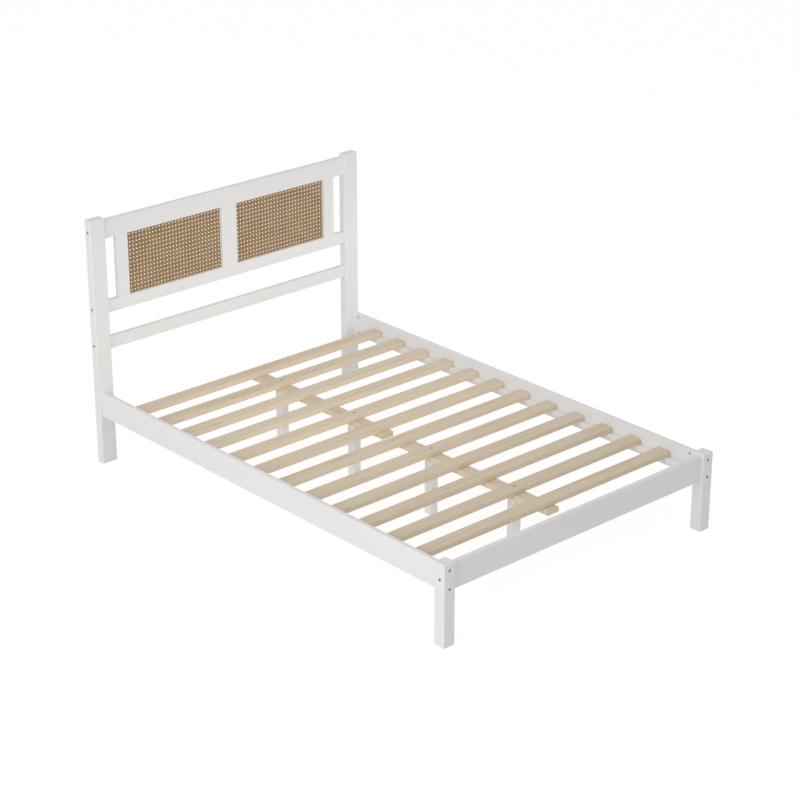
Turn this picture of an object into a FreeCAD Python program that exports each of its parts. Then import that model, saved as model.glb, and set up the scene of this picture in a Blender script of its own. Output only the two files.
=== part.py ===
import FreeCAD, Part
import os
import Sketcher
from FreeCAD import Placement, Rotation, Vector

# Platform bed in white pine with a cane headboard, in millimetres.
# The origin is on the floor under the middle of the bed. +Z is up, the headboard stands at +Y,
# the foot end is at -Y, and left and right are as seen from the foot end, with +X to the right.

SIZES = {
    # Whole bed, over the outer faces of the foot legs and the back of the head posts
    "bed_width": 1450,
    "bed_length": 2160,
    # Square foot legs
    "leg_side": 53,
    "leg_height": 338.5,
    # Head posts, set in a little from the width of the legs
    "post_width": 72,
    "post_depth": 38.5,
    "post_height": 1084,
    "post_inset": 6,
    # Side rails and foot rail
    "rail_bottom": 219,
    "rail_height": 108,
    "side_rail_thickness": 20,
    "foot_rail_thickness": 22,
    "foot_rail_setback": 14,
    # Ledgers on the inner faces of the side rails
    "ledger_width": 22,
    "ledger_height": 24.5,
    "ledger_foot_gap": 15,
    "ledger_overhang": 20,
    # Slats, counted from the headboard: the margin runs from the middle of the end slats to the
    # post or leg, and the recess from the top of the rails down to the slats
    "slat_count": 12,
    "slat_width": 63.7,
    "slat_thickness": 22,
    "slat_margin": 166.9,
    "slat_end_gap": 2,
    "mattress_recess": 40,
    # Beams along the middle of the bed, under the slats
    "beam_count": 2,
    "beam_width": 62,
    "beam_thickness": 22,
    "beam_overhang": 20,
    # Centre legs under the beams, one to every third slat from the second
    "centre_leg_side": 38,
    # Headboard frame between the posts
    "frame_depth": 22,
    "frame_setback": 9.3,
    "top_rail_drop": 13,
    "top_rail_height": 80,
    "panel_height": 270.5,
    "narrow_rail_height": 53,
    "rail_gap": 108,
    "slot_width": 59.5,
    "outer_stile_width": 57,
    "centre_stile_width": 81,
    # Cane sheets in a rebate at the back of the frame, and the beads that hold them; the weave
    # is simplified to a plain grid of square openings with bars between them
    "cane_setback": 15.5,
    "cane_thickness": 1.2,
    "cane_edge_gap": 0.5,
    "cane_columns": 12,
    "cane_rows": 7,
    "cane_bar": 21,
    "rebate_width": 8,
    "bead_relief": 0.3,
    # Rounded edges
    "board_round": 2.5,
    "frame_round": 1,
    "slat_round": 3,
    # Socket head bolts, sunk just below the surface
    "bolt_diameter": 6,
    "bolt_clearance": 0.3,
    "bolt_tail": 1,
    "bolt_hole_spare": 3,
    "head_diameter": 12,
    "head_height": 3.5,
    "head_recess": 0.5,
    "head_clearance": 0.4,
    "socket_width": 5,
    "socket_depth": 2.4,
    # Barrel nuts across the rails
    "nut_diameter": 10,
    "nut_length": 14,
    "nut_clearance": 0.2,
    "nut_distance": 36,
    "thread_clearance": 0.1,
    "driver_slot_width": 1.4,
    "driver_slot_depth": 1.2,
    "side_bolt_spacing": 75,
    # Wooden dowels between the members
    "dowel_diameter": 8,
    "dowel_length": 36,
    "dowel_clearance": 0.1,
    "dowel_end_gap": 1,
    "foot_dowel_spacing": 60,
    "top_dowel_spacing": 50,
    "narrow_dowel_spacing": 32,
    "stile_dowel_spacing": 32,
    # Short pins that keep the slats in place on the ledgers
    "pin_diameter": 8,
    "pin_length": 20,
    # Wood screws that hold the ledgers to the side rails
    "screw_count": 6,
    "screw_diameter": 4,
    "screw_length": 36,
    "screw_head_diameter": 8,
    "screw_head_height": 2,
    "screw_clearance": 0.1,
    "screw_offset": 20,
    # Threaded inserts in the tops of the centre legs
    "insert_diameter": 10,
    "insert_length": 15,
    "centre_bolt_reach": 12,
}

PLACES = {
    "foot_face": "-Size.bed_length / 2",
    "head_face": "Size.bed_length / 2",
    "leg_back": "foot_face + Size.leg_side",
    "leg_outer": "Size.bed_width / 2",
    "leg_inner": "leg_outer - Size.leg_side",
    "post_front": "head_face - Size.post_depth",
    "post_outer": "leg_outer - Size.post_inset",
    "post_inner": "post_outer - Size.post_width",
    "side_axis": "leg_outer - Size.leg_side / 2",
    "side_inner": "side_axis - Size.side_rail_thickness / 2",
    "side_outer": "side_axis + Size.side_rail_thickness / 2",
    "side_length": "post_front - leg_back",
    "rail_top": "Size.rail_bottom + Size.rail_height",
    "rail_axis": "Size.rail_bottom + Size.rail_height / 2",
    "foot_rail_front": "foot_face + Size.foot_rail_setback",
    "foot_rail_axis": "foot_rail_front + Size.foot_rail_thickness / 2",
    "slat_top": "rail_top - Size.mattress_recess",
    "slat_bottom": "slat_top - Size.slat_thickness",
    "slat_end": "side_inner - Size.slat_end_gap",
    "first_slat": "post_front - Size.slat_margin",
    "slat_pitch": "(side_length - 2 * Size.slat_margin) / (Size.slat_count - 1)",
    "ledger_inner": "side_inner - Size.ledger_width",
    "ledger_axis": "side_inner - Size.ledger_width / 2",
    "ledger_bottom": "slat_bottom - Size.ledger_height",
    "ledger_start": "leg_back + Size.ledger_foot_gap",
    "ledger_end": "first_slat + Size.slat_width / 2 + Size.ledger_overhang",
    "slats_per_beam": "Size.slat_count / Size.beam_count",
    "beam_bottom": "slat_bottom - Size.beam_thickness",
    "beam_half": "((slats_per_beam - 1) * slat_pitch + Size.slat_width) / 2 + Size.beam_overhang",
    "frame_front": "post_front + Size.frame_setback",
    "frame_back": "frame_front + Size.frame_depth",
    "frame_axis": "frame_front + Size.frame_depth / 2",
    "panel_top": "Size.post_height - Size.top_rail_drop - Size.top_rail_height",
    "panel_bottom": "panel_top - Size.panel_height",
    "middle_rail_bottom": "panel_bottom - Size.narrow_rail_height",
    "lower_rail_bottom": "middle_rail_bottom - Size.rail_gap - Size.narrow_rail_height",
    "stile_outer": "post_inner - Size.slot_width",
    "panel_outer": "stile_outer - Size.outer_stile_width",
    "panel_inner": "Size.centre_stile_width / 2",
    "panel_width": "panel_outer - panel_inner",
    "rebate_depth": "Size.frame_depth - Size.cane_setback",
    "cane_front": "frame_front + Size.cane_setback",
    "cane_margin": "Size.rebate_width - Size.cane_edge_gap",
    "cane_pitch_across": "panel_width / Size.cane_columns",
    "cane_pitch_up": "Size.panel_height / Size.cane_rows",
    "bead_front": "cane_front + Size.cane_thickness",
    "bead_thickness": "rebate_depth - Size.cane_thickness - Size.bead_relief",
    "head_seat": "Size.head_height + Size.head_recess",
    "bolt_hole": "Size.bolt_diameter + 2 * Size.bolt_clearance",
    "head_hole": "Size.head_diameter + 2 * Size.head_clearance",
    "bolt_reach": "Size.nut_distance + Size.nut_diameter / 2 + Size.bolt_tail",
    "bolt_hole_depth": "bolt_reach + Size.bolt_hole_spare",
    "nut_hole": "Size.nut_diameter + 2 * Size.nut_clearance",
    "dowel_hole": "Size.dowel_diameter + 2 * Size.dowel_clearance",
    "dowel_depth": "Size.dowel_length / 2 + Size.dowel_end_gap",
    "pin_hole": "Size.pin_diameter + 2 * Size.dowel_clearance",
    "pin_depth": "Size.pin_length / 2 + Size.dowel_end_gap",
    "screw_hole": "Size.screw_diameter + 2 * Size.screw_clearance",
    "screw_bite": "Size.screw_length - Size.ledger_width + Size.dowel_end_gap",
    "insert_hole": "Size.insert_diameter + 2 * Size.nut_clearance",
}

SIDES = {"left": -1, "right": 1}
SLATS_PER_CENTRE_LEG = 3
SLATS_PER_SCREW = 2

doc = FreeCAD.newDocument("PlatformBed")


def fill_sheet(name, entries):
    """Write one alias and one cell for each entry, recompute, and return the sheet."""
    sheet = doc.addObject("Spreadsheet::Sheet", name)
    for row, (alias, text) in enumerate(entries.items(), start=1):
        sheet.set(f"A{row}", alias)
        sheet.set(f"B{row}", str(text))
        sheet.setAlias(f"B{row}", alias)
    doc.recompute()
    return sheet


size_sheet = fill_sheet("Size", SIZES)
fill_sheet("Place", {alias: f"={text}" for alias, text in PLACES.items()})
nodes = []


def amount(text):
    """Value in millimetres of an expression over the two sheets."""
    return float(size_sheet.evalExpression(text))


def mirrored(side, text):
    """The expression on the right side of the bed, and its opposite on the left."""
    return text if side > 0 else f"-({text})"


def hold(sketch, item, point, axis, text):
    """Keep a point of the sketch at a distance along one axis from the sketch's origin."""
    index = sketch.addConstraint(
        Sketcher.Constraint(f"Distance{axis}", -1, 1, item, point, amount(text))
    )
    sketch.setExpression(f"Constraints[{index}]", text)


def add_rectangle(sketch, left, bottom, width, height):
    """Draw a rectangle from its lower left corner, its width and its height."""
    x, y = amount(left), amount(bottom)
    wide, high = amount(width), amount(height)
    corners = [
        Vector(x, y),
        Vector(x + wide, y),
        Vector(x + wide, y + high),
        Vector(x, y + high),
    ]
    first = sketch.GeometryCount
    for start, end in zip(corners, corners[1:] + corners[:1]):
        sketch.addGeometry(Part.LineSegment(start, end))
    for side in range(4):
        following = first + (side + 1) % 4
        sketch.addConstraint(Sketcher.Constraint("Coincident", first + side, 2, following, 1))
        direction = "Horizontal" if side % 2 == 0 else "Vertical"
        sketch.addConstraint(Sketcher.Constraint(direction, first + side))
    hold(sketch, first, 1, "X", left)
    hold(sketch, first, 1, "Y", bottom)
    for axis, line, text in (("X", first, width), ("Y", first + 1, height)):
        index = sketch.addConstraint(
            Sketcher.Constraint(f"Distance{axis}", line, 1, line, 2, amount(text))
        )
        sketch.setExpression(f"Constraints[{index}]", text)


def add_circle(sketch, across, up, diameter):
    """Draw a circle by its centre and its diameter."""
    centre = Vector(amount(across), amount(up))
    item = sketch.addGeometry(Part.Circle(centre, Vector(0, 0, 1), amount(diameter) / 2))
    hold(sketch, item, 3, "X", across)
    hold(sketch, item, 3, "Y", up)
    index = sketch.addConstraint(Sketcher.Constraint("Diameter", item, amount(diameter)))
    sketch.setExpression(f"Constraints[{index}]", diameter)


class Board:
    """A wooden member with its own body, measured from its lowest corner along +X, +Y and +Z."""

    def __init__(self, label, lengths, corner):
        self.label = label
        self.lengths = lengths
        self.body = doc.addObject("PartDesign::Body", label)
        self.body.Label = label
        for axis, text in zip("xyz", corner):
            self.body.setExpression(f"Placement.Base.{axis}", text)
        outline = self.sketch("Outline", "XY_Plane")
        add_rectangle(outline, "0", "0", lengths[0], lengths[1])
        pad = self.body.newObject("PartDesign::Pad", f"{label}_Pad")
        pad.Profile = outline
        pad.setExpression("Length", lengths[2])
        outline.Visibility = False
        doc.recompute()
        nodes.append(self.body)

    def sketch(self, name, role, offset=None):
        """Attach a new sketch to one of the body's origin planes, moved along its normal."""
        sketch = self.body.newObject("Sketcher::SketchObject", f"{self.label}_{name}")
        plane = next(item for item in self.body.Origin.OriginFeatures if item.Role == role)
        sketch.AttachmentSupport = [(plane, "")]
        sketch.MapMode = "FlatFace"
        if offset:
            sketch.setExpression("AttachmentOffset.Base.z", offset)
        return sketch

    def round_edges(self, radius, axes):
        """Round the long edges that run along the given axes."""
        tip = self.body.Tip
        chosen = []
        for number, edge in enumerate(tip.Shape.Edges, start=1):
            run = edge.lastVertex().Point - edge.firstVertex().Point
            along = max(zip((abs(run.x), abs(run.y), abs(run.z)), "xyz"))[1]
            if along in axes:
                chosen.append(f"Edge{number}")
        fillet = self.body.newObject("PartDesign::Fillet", f"{self.label}_Round")
        fillet.Base = (tip, chosen)
        fillet.setExpression("Radius", radius)
        doc.recompute()

    def face_sketch(self, face, name):
        """Start a sketch on a face; it is drawn along +X or +Y first, and then along +Y or +Z."""
        role, offset, reverse = {
            "front": ("XZ_Plane", None, False),
            "back": ("XZ_Plane", f"-({self.lengths[1]})", True),
            "left": ("YZ_Plane", None, True),
            "right": ("YZ_Plane", self.lengths[0], False),
            "bottom": ("XY_Plane", None, True),
            "top": ("XY_Plane", self.lengths[2], False),
        }[face]
        return self.sketch(name, role, offset), reverse

    def cut(self, sketch, reverse, name, depth):
        """Pocket the sketch into the board."""
        pocket = self.body.newObject("PartDesign::Pocket", f"{self.label}_{name}Cut")
        pocket.Profile = sketch
        pocket.setExpression("Length", depth)
        pocket.Reversed = reverse
        sketch.Visibility = False
        doc.recompute()
        return pocket

    def drill(self, face, name, spots, diameter, depth):
        """Drill round holes at the given spots of one face."""
        sketch, reverse = self.face_sketch(face, name)
        for across, up in spots:
            add_circle(sketch, across, up, diameter)
        return self.cut(sketch, reverse, name, depth)

    def rebate(self, face, name, rectangles, depth):
        """Mill rectangles, each given by its lower left corner, width and height, into one face."""
        sketch, reverse = self.face_sketch(face, name)
        for rectangle in rectangles:
            add_rectangle(sketch, *rectangle)
        return self.cut(sketch, reverse, name, depth)

    def repeat(self, feature, role, length, count):
        """Repeat a cut along one of the body's axes, over a length, to a number of copies."""
        axis = next(item for item in self.body.Origin.OriginFeatures if item.Role == role)
        pattern = self.body.newObject("PartDesign::LinearPattern", f"{feature.Name}_Row")
        pattern.Originals = [feature]
        pattern.Direction = (axis, [""])
        pattern.setExpression("Length", length)
        pattern.setExpression("Occurrences", count)
        self.body.Tip = pattern
        doc.recompute()
        return pattern

    def bolt_seats(self, face, name, spots, through):
        """Drill bolt holes right through, with a wider seat for each head."""
        self.drill(face, f"{name}Hole", spots, "Place.bolt_hole", through)
        self.drill(face, f"{name}Seat", spots, "Place.head_hole", "Place.head_seat")

    def bolt_holes(self, face, name, spots):
        """Drill blind holes into the end of a rail for bolts that reach its barrel nuts."""
        self.drill(face, name, spots, "Place.bolt_hole", "Place.bolt_hole_depth")

    def dowel_holes(self, face, name, spots):
        """Drill blind holes that take half a dowel each."""
        self.drill(face, name, spots, "Place.dowel_hole", "Place.dowel_depth")


def make_foot_legs():
    """Square legs with seats for the rail bolts and blind holes for the dowels."""
    for name, side in SIDES.items():
        corner_x = "Place.leg_inner" if side > 0 else "-Place.leg_outer"
        leg = Board(
            f"foot_leg_{name}",
            ("Size.leg_side", "Size.leg_side", "Size.leg_height"),
            (corner_x, "Place.foot_face", "0"),
        )
        leg.round_edges("Size.board_round", "xyz")
        middle = "Size.leg_side / 2"
        side_spots = [
            (middle, "Place.rail_axis + Size.side_bolt_spacing / 2"),
            (middle, "Place.rail_axis - Size.side_bolt_spacing / 2"),
        ]
        leg.bolt_seats("front", "SideBolt", side_spots, "Size.leg_side")
        foot_across = "Place.foot_rail_axis - Place.foot_face"
        outer_face, inner_face = ("right", "left") if side > 0 else ("left", "right")
        leg.bolt_seats(outer_face, "FootBolt", [(foot_across, "Place.rail_axis")], "Size.leg_side")
        leg.dowel_holes("back", "SideDowel", [(middle, "Place.rail_axis")])
        foot_dowels = [
            (foot_across, "Place.rail_axis + Size.foot_dowel_spacing / 2"),
            (foot_across, "Place.rail_axis - Size.foot_dowel_spacing / 2"),
        ]
        leg.dowel_holes(inner_face, "FootDowel", foot_dowels)


# Lower edge, height and spacing of the end dowels
HEADBOARD_RAILS = {
    "headboard_lower_rail": (
        "Place.lower_rail_bottom",
        "Size.narrow_rail_height",
        "Size.narrow_dowel_spacing",
    ),
    "headboard_middle_rail": (
        "Place.middle_rail_bottom",
        "Size.narrow_rail_height",
        "Size.narrow_dowel_spacing",
    ),
    "headboard_top_rail": ("Place.panel_top", "Size.top_rail_height", "Size.top_dowel_spacing"),
}


def make_head_posts():
    """Tall posts with bolt seats at the back for the side rails and at the outside for the headboard."""
    for name, side in SIDES.items():
        corner_x = "Place.post_inner" if side > 0 else "-Place.post_outer"
        post = Board(
            f"head_post_{name}",
            ("Size.post_width", "Size.post_depth", "Size.post_height"),
            (corner_x, "Place.post_front", "0"),
        )
        post.round_edges("Size.board_round", "xyz")
        across = f"{mirrored(side, 'Place.side_axis')} - ({corner_x})"
        side_spots = [
            (across, "Place.rail_axis + Size.side_bolt_spacing / 2"),
            (across, "Place.rail_axis - Size.side_bolt_spacing / 2"),
        ]
        post.bolt_seats("back", "SideBolt", side_spots, "Size.post_depth")
        post.dowel_holes("front", "SideDowel", [(across, "Place.rail_axis")])
        outer_face, inner_face = ("right", "left") if side > 0 else ("left", "right")
        in_depth = "Place.frame_axis - Place.post_front"
        bolts = []
        dowels = []
        for bottom, height, spacing in HEADBOARD_RAILS.values():
            middle = f"{bottom} + {height} / 2"
            bolts.append((in_depth, middle))
            dowels.append((in_depth, f"{middle} + {spacing} / 2"))
            dowels.append((in_depth, f"{middle} - {spacing} / 2"))
        post.bolt_seats(outer_face, "HeadboardBolt", bolts, "Size.post_width")
        post.dowel_holes(inner_face, "HeadboardDowel", dowels)


def make_side_rails():
    """Side rails with bolt and dowel holes in both ends and barrel nut holes in the inner face."""
    for name, side in SIDES.items():
        rail = Board(
            f"side_rail_{name}",
            ("Size.side_rail_thickness", "Place.side_length", "Size.rail_height"),
            ("Place.side_inner" if side > 0 else "-Place.side_outer", "Place.leg_back", "Size.rail_bottom"),
        )
        rail.round_edges("Size.board_round", "y")
        middle = "Size.side_rail_thickness / 2"
        heights = [f"Size.rail_height / 2 {sign} Size.side_bolt_spacing / 2" for sign in "+-"]
        for face in ("front", "back"):
            rail.bolt_holes(face, f"{face}Bolt", [(middle, up) for up in heights])
            rail.dowel_holes(face, f"{face}Dowel", [(middle, "Size.rail_height / 2")])
        inner_face = "left" if side > 0 else "right"
        nut_depth = "(Size.side_rail_thickness + Size.nut_length) / 2"
        alongs = ["Size.nut_distance", "Place.side_length - Size.nut_distance"]
        nut_spots = [(along, up) for along in alongs for up in heights]
        rail.drill(inner_face, "Nut", nut_spots, "Place.nut_hole", nut_depth)
        first_screw = "Place.first_slat + Size.screw_offset - Place.leg_back"
        screw_up = "Place.ledger_bottom + Size.ledger_height / 2 - Size.rail_bottom"
        pitch = f"{SLATS_PER_SCREW} * Place.slat_pitch"
        last_screw = f"{first_screw} - (Size.screw_count - 1) * {pitch}"
        spot = [(last_screw, screw_up)]
        pilot = rail.drill(inner_face, "Screw", spot, "Place.screw_hole", "Place.screw_bite")
        rail.repeat(pilot, "Y_Axis", f"(Size.screw_count - 1) * {pitch}", "Size.screw_count")


def make_foot_rail():
    """Foot rail between the legs, with bolt, dowel and barrel nut holes at both ends."""
    rail = Board(
        "foot_rail",
        ("2 * Place.leg_inner", "Size.foot_rail_thickness", "Size.rail_height"),
        ("-Place.leg_inner", "Place.foot_rail_front", "Size.rail_bottom"),
    )
    rail.round_edges("Size.board_round", "x")
    middle = "Size.foot_rail_thickness / 2"
    axis = "Size.rail_height / 2"
    dowels = [(middle, f"{axis} {sign} Size.foot_dowel_spacing / 2") for sign in "+-"]
    for face in ("left", "right"):
        rail.bolt_holes(face, f"{face}Bolt", [(middle, axis)])
        rail.dowel_holes(face, f"{face}Dowel", dowels)
    nuts = [("Size.nut_distance", axis), ("2 * Place.leg_inner - Size.nut_distance", axis)]
    nut_depth = "(Size.foot_rail_thickness + Size.nut_length) / 2"
    rail.drill("back", "Nut", nuts, "Place.nut_hole", nut_depth)


def make_ledgers():
    """Ledgers along the inner faces of the side rails, with slat pins on top and screws from the inside."""
    for name, side in SIDES.items():
        corner_x = "Place.ledger_inner" if side > 0 else "-Place.side_inner"
        ledger = Board(
            f"ledger_{name}",
            ("Size.ledger_width", "Place.ledger_end - Place.ledger_start", "Size.ledger_height"),
            (corner_x, "Place.ledger_start", "Place.ledger_bottom"),
        )
        ledger.round_edges("Size.frame_round", "y")
        row = "(Size.slat_count - 1) * Place.slat_pitch"
        last_pin = f"Place.first_slat - {row} - Place.ledger_start"
        pin_spot = [("Size.ledger_width / 2", last_pin)]
        pin = ledger.drill("top", "Pin", pin_spot, "Place.pin_hole", "Place.pin_depth")
        ledger.repeat(pin, "Y_Axis", row, "Size.slat_count")
        inner_face = "left" if side > 0 else "right"
        screw_row = f"(Size.screw_count - 1) * {SLATS_PER_SCREW} * Place.slat_pitch"
        last_screw = f"Place.first_slat + Size.screw_offset - {screw_row} - Place.ledger_start"
        spot = [(last_screw, "Size.ledger_height / 2")]
        hole = ledger.drill(inner_face, "Screw", spot, "Place.screw_hole", "Size.ledger_width")
        ledger.repeat(hole, "Y_Axis", screw_row, "Size.screw_count")
        head_hole = "Size.screw_head_diameter + 2 * Size.screw_clearance"
        sink = ledger.drill(inner_face, "ScrewHead", spot, head_hole, "Size.screw_head_height")
        ledger.repeat(sink, "Y_Axis", screw_row, "Size.screw_count")


def slat_place(index):
    """Distance of a slat's middle along Y, counted from the headboard."""
    return f"Place.first_slat - {index} * Place.slat_pitch"


def centre_leg_slats():
    """Numbers, from zero, of the slats that stand over a centre leg."""
    return list(range(1, round(amount("Size.slat_count")), SLATS_PER_CENTRE_LEG))


def make_slats():
    """Slats with pin holes under both ends, and a bolt hole in each that is over a centre leg."""
    for index in range(round(amount("Size.slat_count"))):
        slat = Board(
            f"slat_{index + 1:02d}",
            ("2 * Place.slat_end", "Size.slat_width", "Size.slat_thickness"),
            ("-Place.slat_end", f"{slat_place(index)} - Size.slat_width / 2", "Place.slat_bottom"),
        )
        slat.round_edges("Size.slat_round", "x")
        middle = "Size.slat_width / 2"
        pins = [
            ("Place.slat_end - Place.ledger_axis", middle),
            ("Place.slat_end + Place.ledger_axis", middle),
        ]
        slat.drill("bottom", "Pin", pins, "Place.pin_hole", "Place.pin_depth")
        if index in centre_leg_slats():
            slat.bolt_seats("top", "LegBolt", [("Place.slat_end", middle)], "Size.slat_thickness")


def make_beams():
    """Beams along the middle of the bed, end to end, each under its share of the slats."""
    per_beam = round(amount("Place.slats_per_beam"))
    names = ("centre_beam_head", "centre_beam_foot")
    for number, name in enumerate(names):
        middle = f"({slat_place((number + 0.5) * per_beam - 0.5)})"
        start = f"{middle} - Place.beam_half"
        beam = Board(
            name,
            ("Size.beam_width", "2 * Place.beam_half", "Size.beam_thickness"),
            ("-Size.beam_width / 2", start, "Place.beam_bottom"),
        )
        beam.round_edges("Size.slat_round", "y")
        carried = range(number * per_beam, (number + 1) * per_beam)
        spots = [
            ("Size.beam_width / 2", f"{slat_place(index)} - ({start})")
            for index in centre_leg_slats()
            if index in carried
        ]
        beam.drill("top", "LegBolt", spots, "Place.bolt_hole", "Size.beam_thickness")


def make_centre_legs():
    """Short legs under the beams, each with a hole for its threaded insert."""
    for number, index in enumerate(centre_leg_slats(), start=1):
        leg = Board(
            f"centre_leg_{number}",
            ("Size.centre_leg_side", "Size.centre_leg_side", "Place.beam_bottom"),
            ("-Size.centre_leg_side / 2", f"{slat_place(index)} - Size.centre_leg_side / 2", "0"),
        )
        leg.round_edges("Size.frame_round", "z")
        middle = "Size.centre_leg_side / 2"
        leg.drill("top", "Insert", [(middle, middle)], "Place.insert_hole", "Size.insert_length")


def make_headboard_rails():
    """Headboard rails, bolted between the posts and rebated at the back where they hold the cane."""
    for name, (bottom, height, spacing) in HEADBOARD_RAILS.items():
        rail = Board(
            name,
            ("2 * Place.post_inner", "Size.frame_depth", height),
            ("-Place.post_inner", "Place.frame_front", bottom),
        )
        rail.round_edges("Size.frame_round", "x")
        middle = "Size.frame_depth / 2"
        axis = f"{height} / 2"
        dowels = [(middle, f"{axis} {sign} {spacing} / 2") for sign in "+-"]
        for face in ("left", "right"):
            rail.bolt_holes(face, f"{face}Bolt", [(middle, axis)])
            rail.dowel_holes(face, f"{face}Dowel", dowels)
        nuts = [("Size.nut_distance", axis), ("2 * Place.post_inner - Size.nut_distance", axis)]
        nut_depth = "(Size.frame_depth + Size.nut_length) / 2"
        rail.drill("back", "Nut", nuts, "Place.nut_hole", nut_depth)
        if name == "headboard_lower_rail":
            continue
        is_top = name == "headboard_top_rail"
        spots = [(f"Place.post_inner + {across}", middle) for across in stile_dowel_places()]
        rail.dowel_holes("bottom" if is_top else "top", "StileDowel", spots)
        rebate_up = "0" if is_top else f"{height} - Size.rebate_width"
        long_rebate = "Place.panel_width + 2 * Size.rebate_width"
        starts = [
            "Place.post_inner - Place.panel_outer - Size.rebate_width",
            "Place.post_inner + Place.panel_inner - Size.rebate_width",
        ]
        grooves = [(start, rebate_up, long_rebate, "Size.rebate_width") for start in starts]
        rail.rebate("back", "Rebate", grooves, "Place.rebate_depth")


# Left edge, width and the edges that are rebated for the cane
STILES = {
    "headboard_stile_left": ("-Place.stile_outer", "Size.outer_stile_width", ["right"]),
    "headboard_stile_centre": ("-Size.centre_stile_width / 2", "Size.centre_stile_width", ["left", "right"]),
    "headboard_stile_right": ("Place.panel_outer", "Size.outer_stile_width", ["left"]),
}


def stile_dowel_places():
    """Distances along X of the dowels in the ends of the stiles, from the middle of the headboard."""
    places = []
    for start, width, _ in STILES.values():
        for sign in "+-":
            places.append(f"({start} + {width} / 2 {sign} Size.stile_dowel_spacing / 2)")
    return places


def make_stiles():
    """Stiles between the middle and top rails, rebated at the back beside the cane."""
    for name, (start, width, rebated) in STILES.items():
        stile = Board(
            name,
            (width, "Size.frame_depth", "Size.panel_height"),
            (start, "Place.frame_front", "Place.panel_bottom"),
        )
        stile.round_edges("Size.frame_round", "z")
        acrosses = [f"{width} / 2 {sign} Size.stile_dowel_spacing / 2" for sign in "+-"]
        spots = [(across, "Size.frame_depth / 2") for across in acrosses]
        for face in ("bottom", "top"):
            stile.dowel_holes(face, f"{face}Dowel", spots)
        grooves = []
        for edge in rebated:
            left = "0" if edge == "left" else f"{width} - Size.rebate_width"
            grooves.append((left, "0", "Size.rebate_width", "Size.panel_height"))
        stile.rebate("back", "Rebate", grooves, "Place.rebate_depth")


def open_cane(panel):
    """Cut the grid of openings into a cane sheet: one column, repeated across it."""
    width = "Place.cane_pitch_across - Size.cane_bar"
    height = "Place.cane_pitch_up - Size.cane_bar"
    first = "Place.cane_margin + Size.cane_bar / 2"
    column = [
        (first, f"{first} + {row} * Place.cane_pitch_up", width, height)
        for row in range(round(amount("Size.cane_rows")))
    ]
    openings = panel.rebate("front", "Opening", column, "Size.cane_thickness")
    run = "(Size.cane_columns - 1) * Place.cane_pitch_across"
    panel.repeat(openings, "X_Axis", run, "Size.cane_columns")


def make_cane_panels():
    """Cane sheets in the rebates, each held from behind by four beads."""
    bead = ("Size.rebate_width", "Place.bead_thickness", "Size.rebate_width")
    for name, side in SIDES.items():
        left = "Place.panel_inner" if side > 0 else "-Place.panel_outer"
        right = "Place.panel_outer" if side > 0 else "-Place.panel_inner"
        cane_width = "Place.panel_width + 2 * Place.cane_margin"
        cane_height = "Size.panel_height + 2 * Place.cane_margin"
        cane_bottom = "Place.panel_bottom - Place.cane_margin"
        panel = Board(
            f"cane_panel_{name}",
            (cane_width, "Size.cane_thickness", cane_height),
            (f"{left} - Place.cane_margin", "Place.cane_front", cane_bottom),
        )
        open_cane(panel)
        long_bead = ("Place.panel_width + 2 * Size.rebate_width", bead[1], bead[2])
        short_bead = (bead[0], bead[1], "Size.panel_height")
        outset = f"{left} - Size.rebate_width"
        low = "Place.panel_bottom - Size.rebate_width"
        inner, outer = (outset, right) if side > 0 else (right, outset)
        Board(f"bead_{name}_bottom", long_bead, (outset, "Place.bead_front", low))
        Board(f"bead_{name}_top", long_bead, (outset, "Place.bead_front", "Place.panel_top"))
        Board(f"bead_{name}_inner", short_bead, (inner, "Place.bead_front", "Place.panel_bottom"))
        Board(f"bead_{name}_outer", short_bead, (outer, "Place.bead_front", "Place.panel_bottom"))


def cylinder(name, diameter, length, start="0"):
    """Round bar along +Z, bound to the sheets."""
    bar = doc.addObject("Part::Cylinder", name)
    bar.setExpression("Radius", f"({diameter}) / 2")
    bar.setExpression("Height", length)
    bar.setExpression("Placement.Base.z", start)
    return bar


def joined(kind, name, base, tool):
    """Boolean of two shapes; kind is Fuse or Cut."""
    result = doc.addObject(f"Part::{kind}", name)
    result.Base = base
    result.Tool = tool
    return result


def socket_bolt(name, length):
    """Bolt along +Z: the seat of its head is at zero, its shank is above and its head below."""
    shank = cylinder(f"{name}_Shank", "Size.bolt_diameter", length)
    head = cylinder(f"{name}_Head", "Size.head_diameter", "Size.head_height", "-Size.head_height")
    socket = doc.addObject("Part::Prism", f"{name}_Socket")
    socket.Polygon = 6
    socket.setExpression("Circumradius", "Size.socket_width / 2 / cos(30)")
    socket.setExpression("Height", "Size.socket_depth")
    socket.setExpression("Placement.Base.z", "-Size.head_height")
    solid = joined("Fuse", f"{name}_Solid", head, shank)
    return joined("Cut", name, solid, socket)


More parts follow.
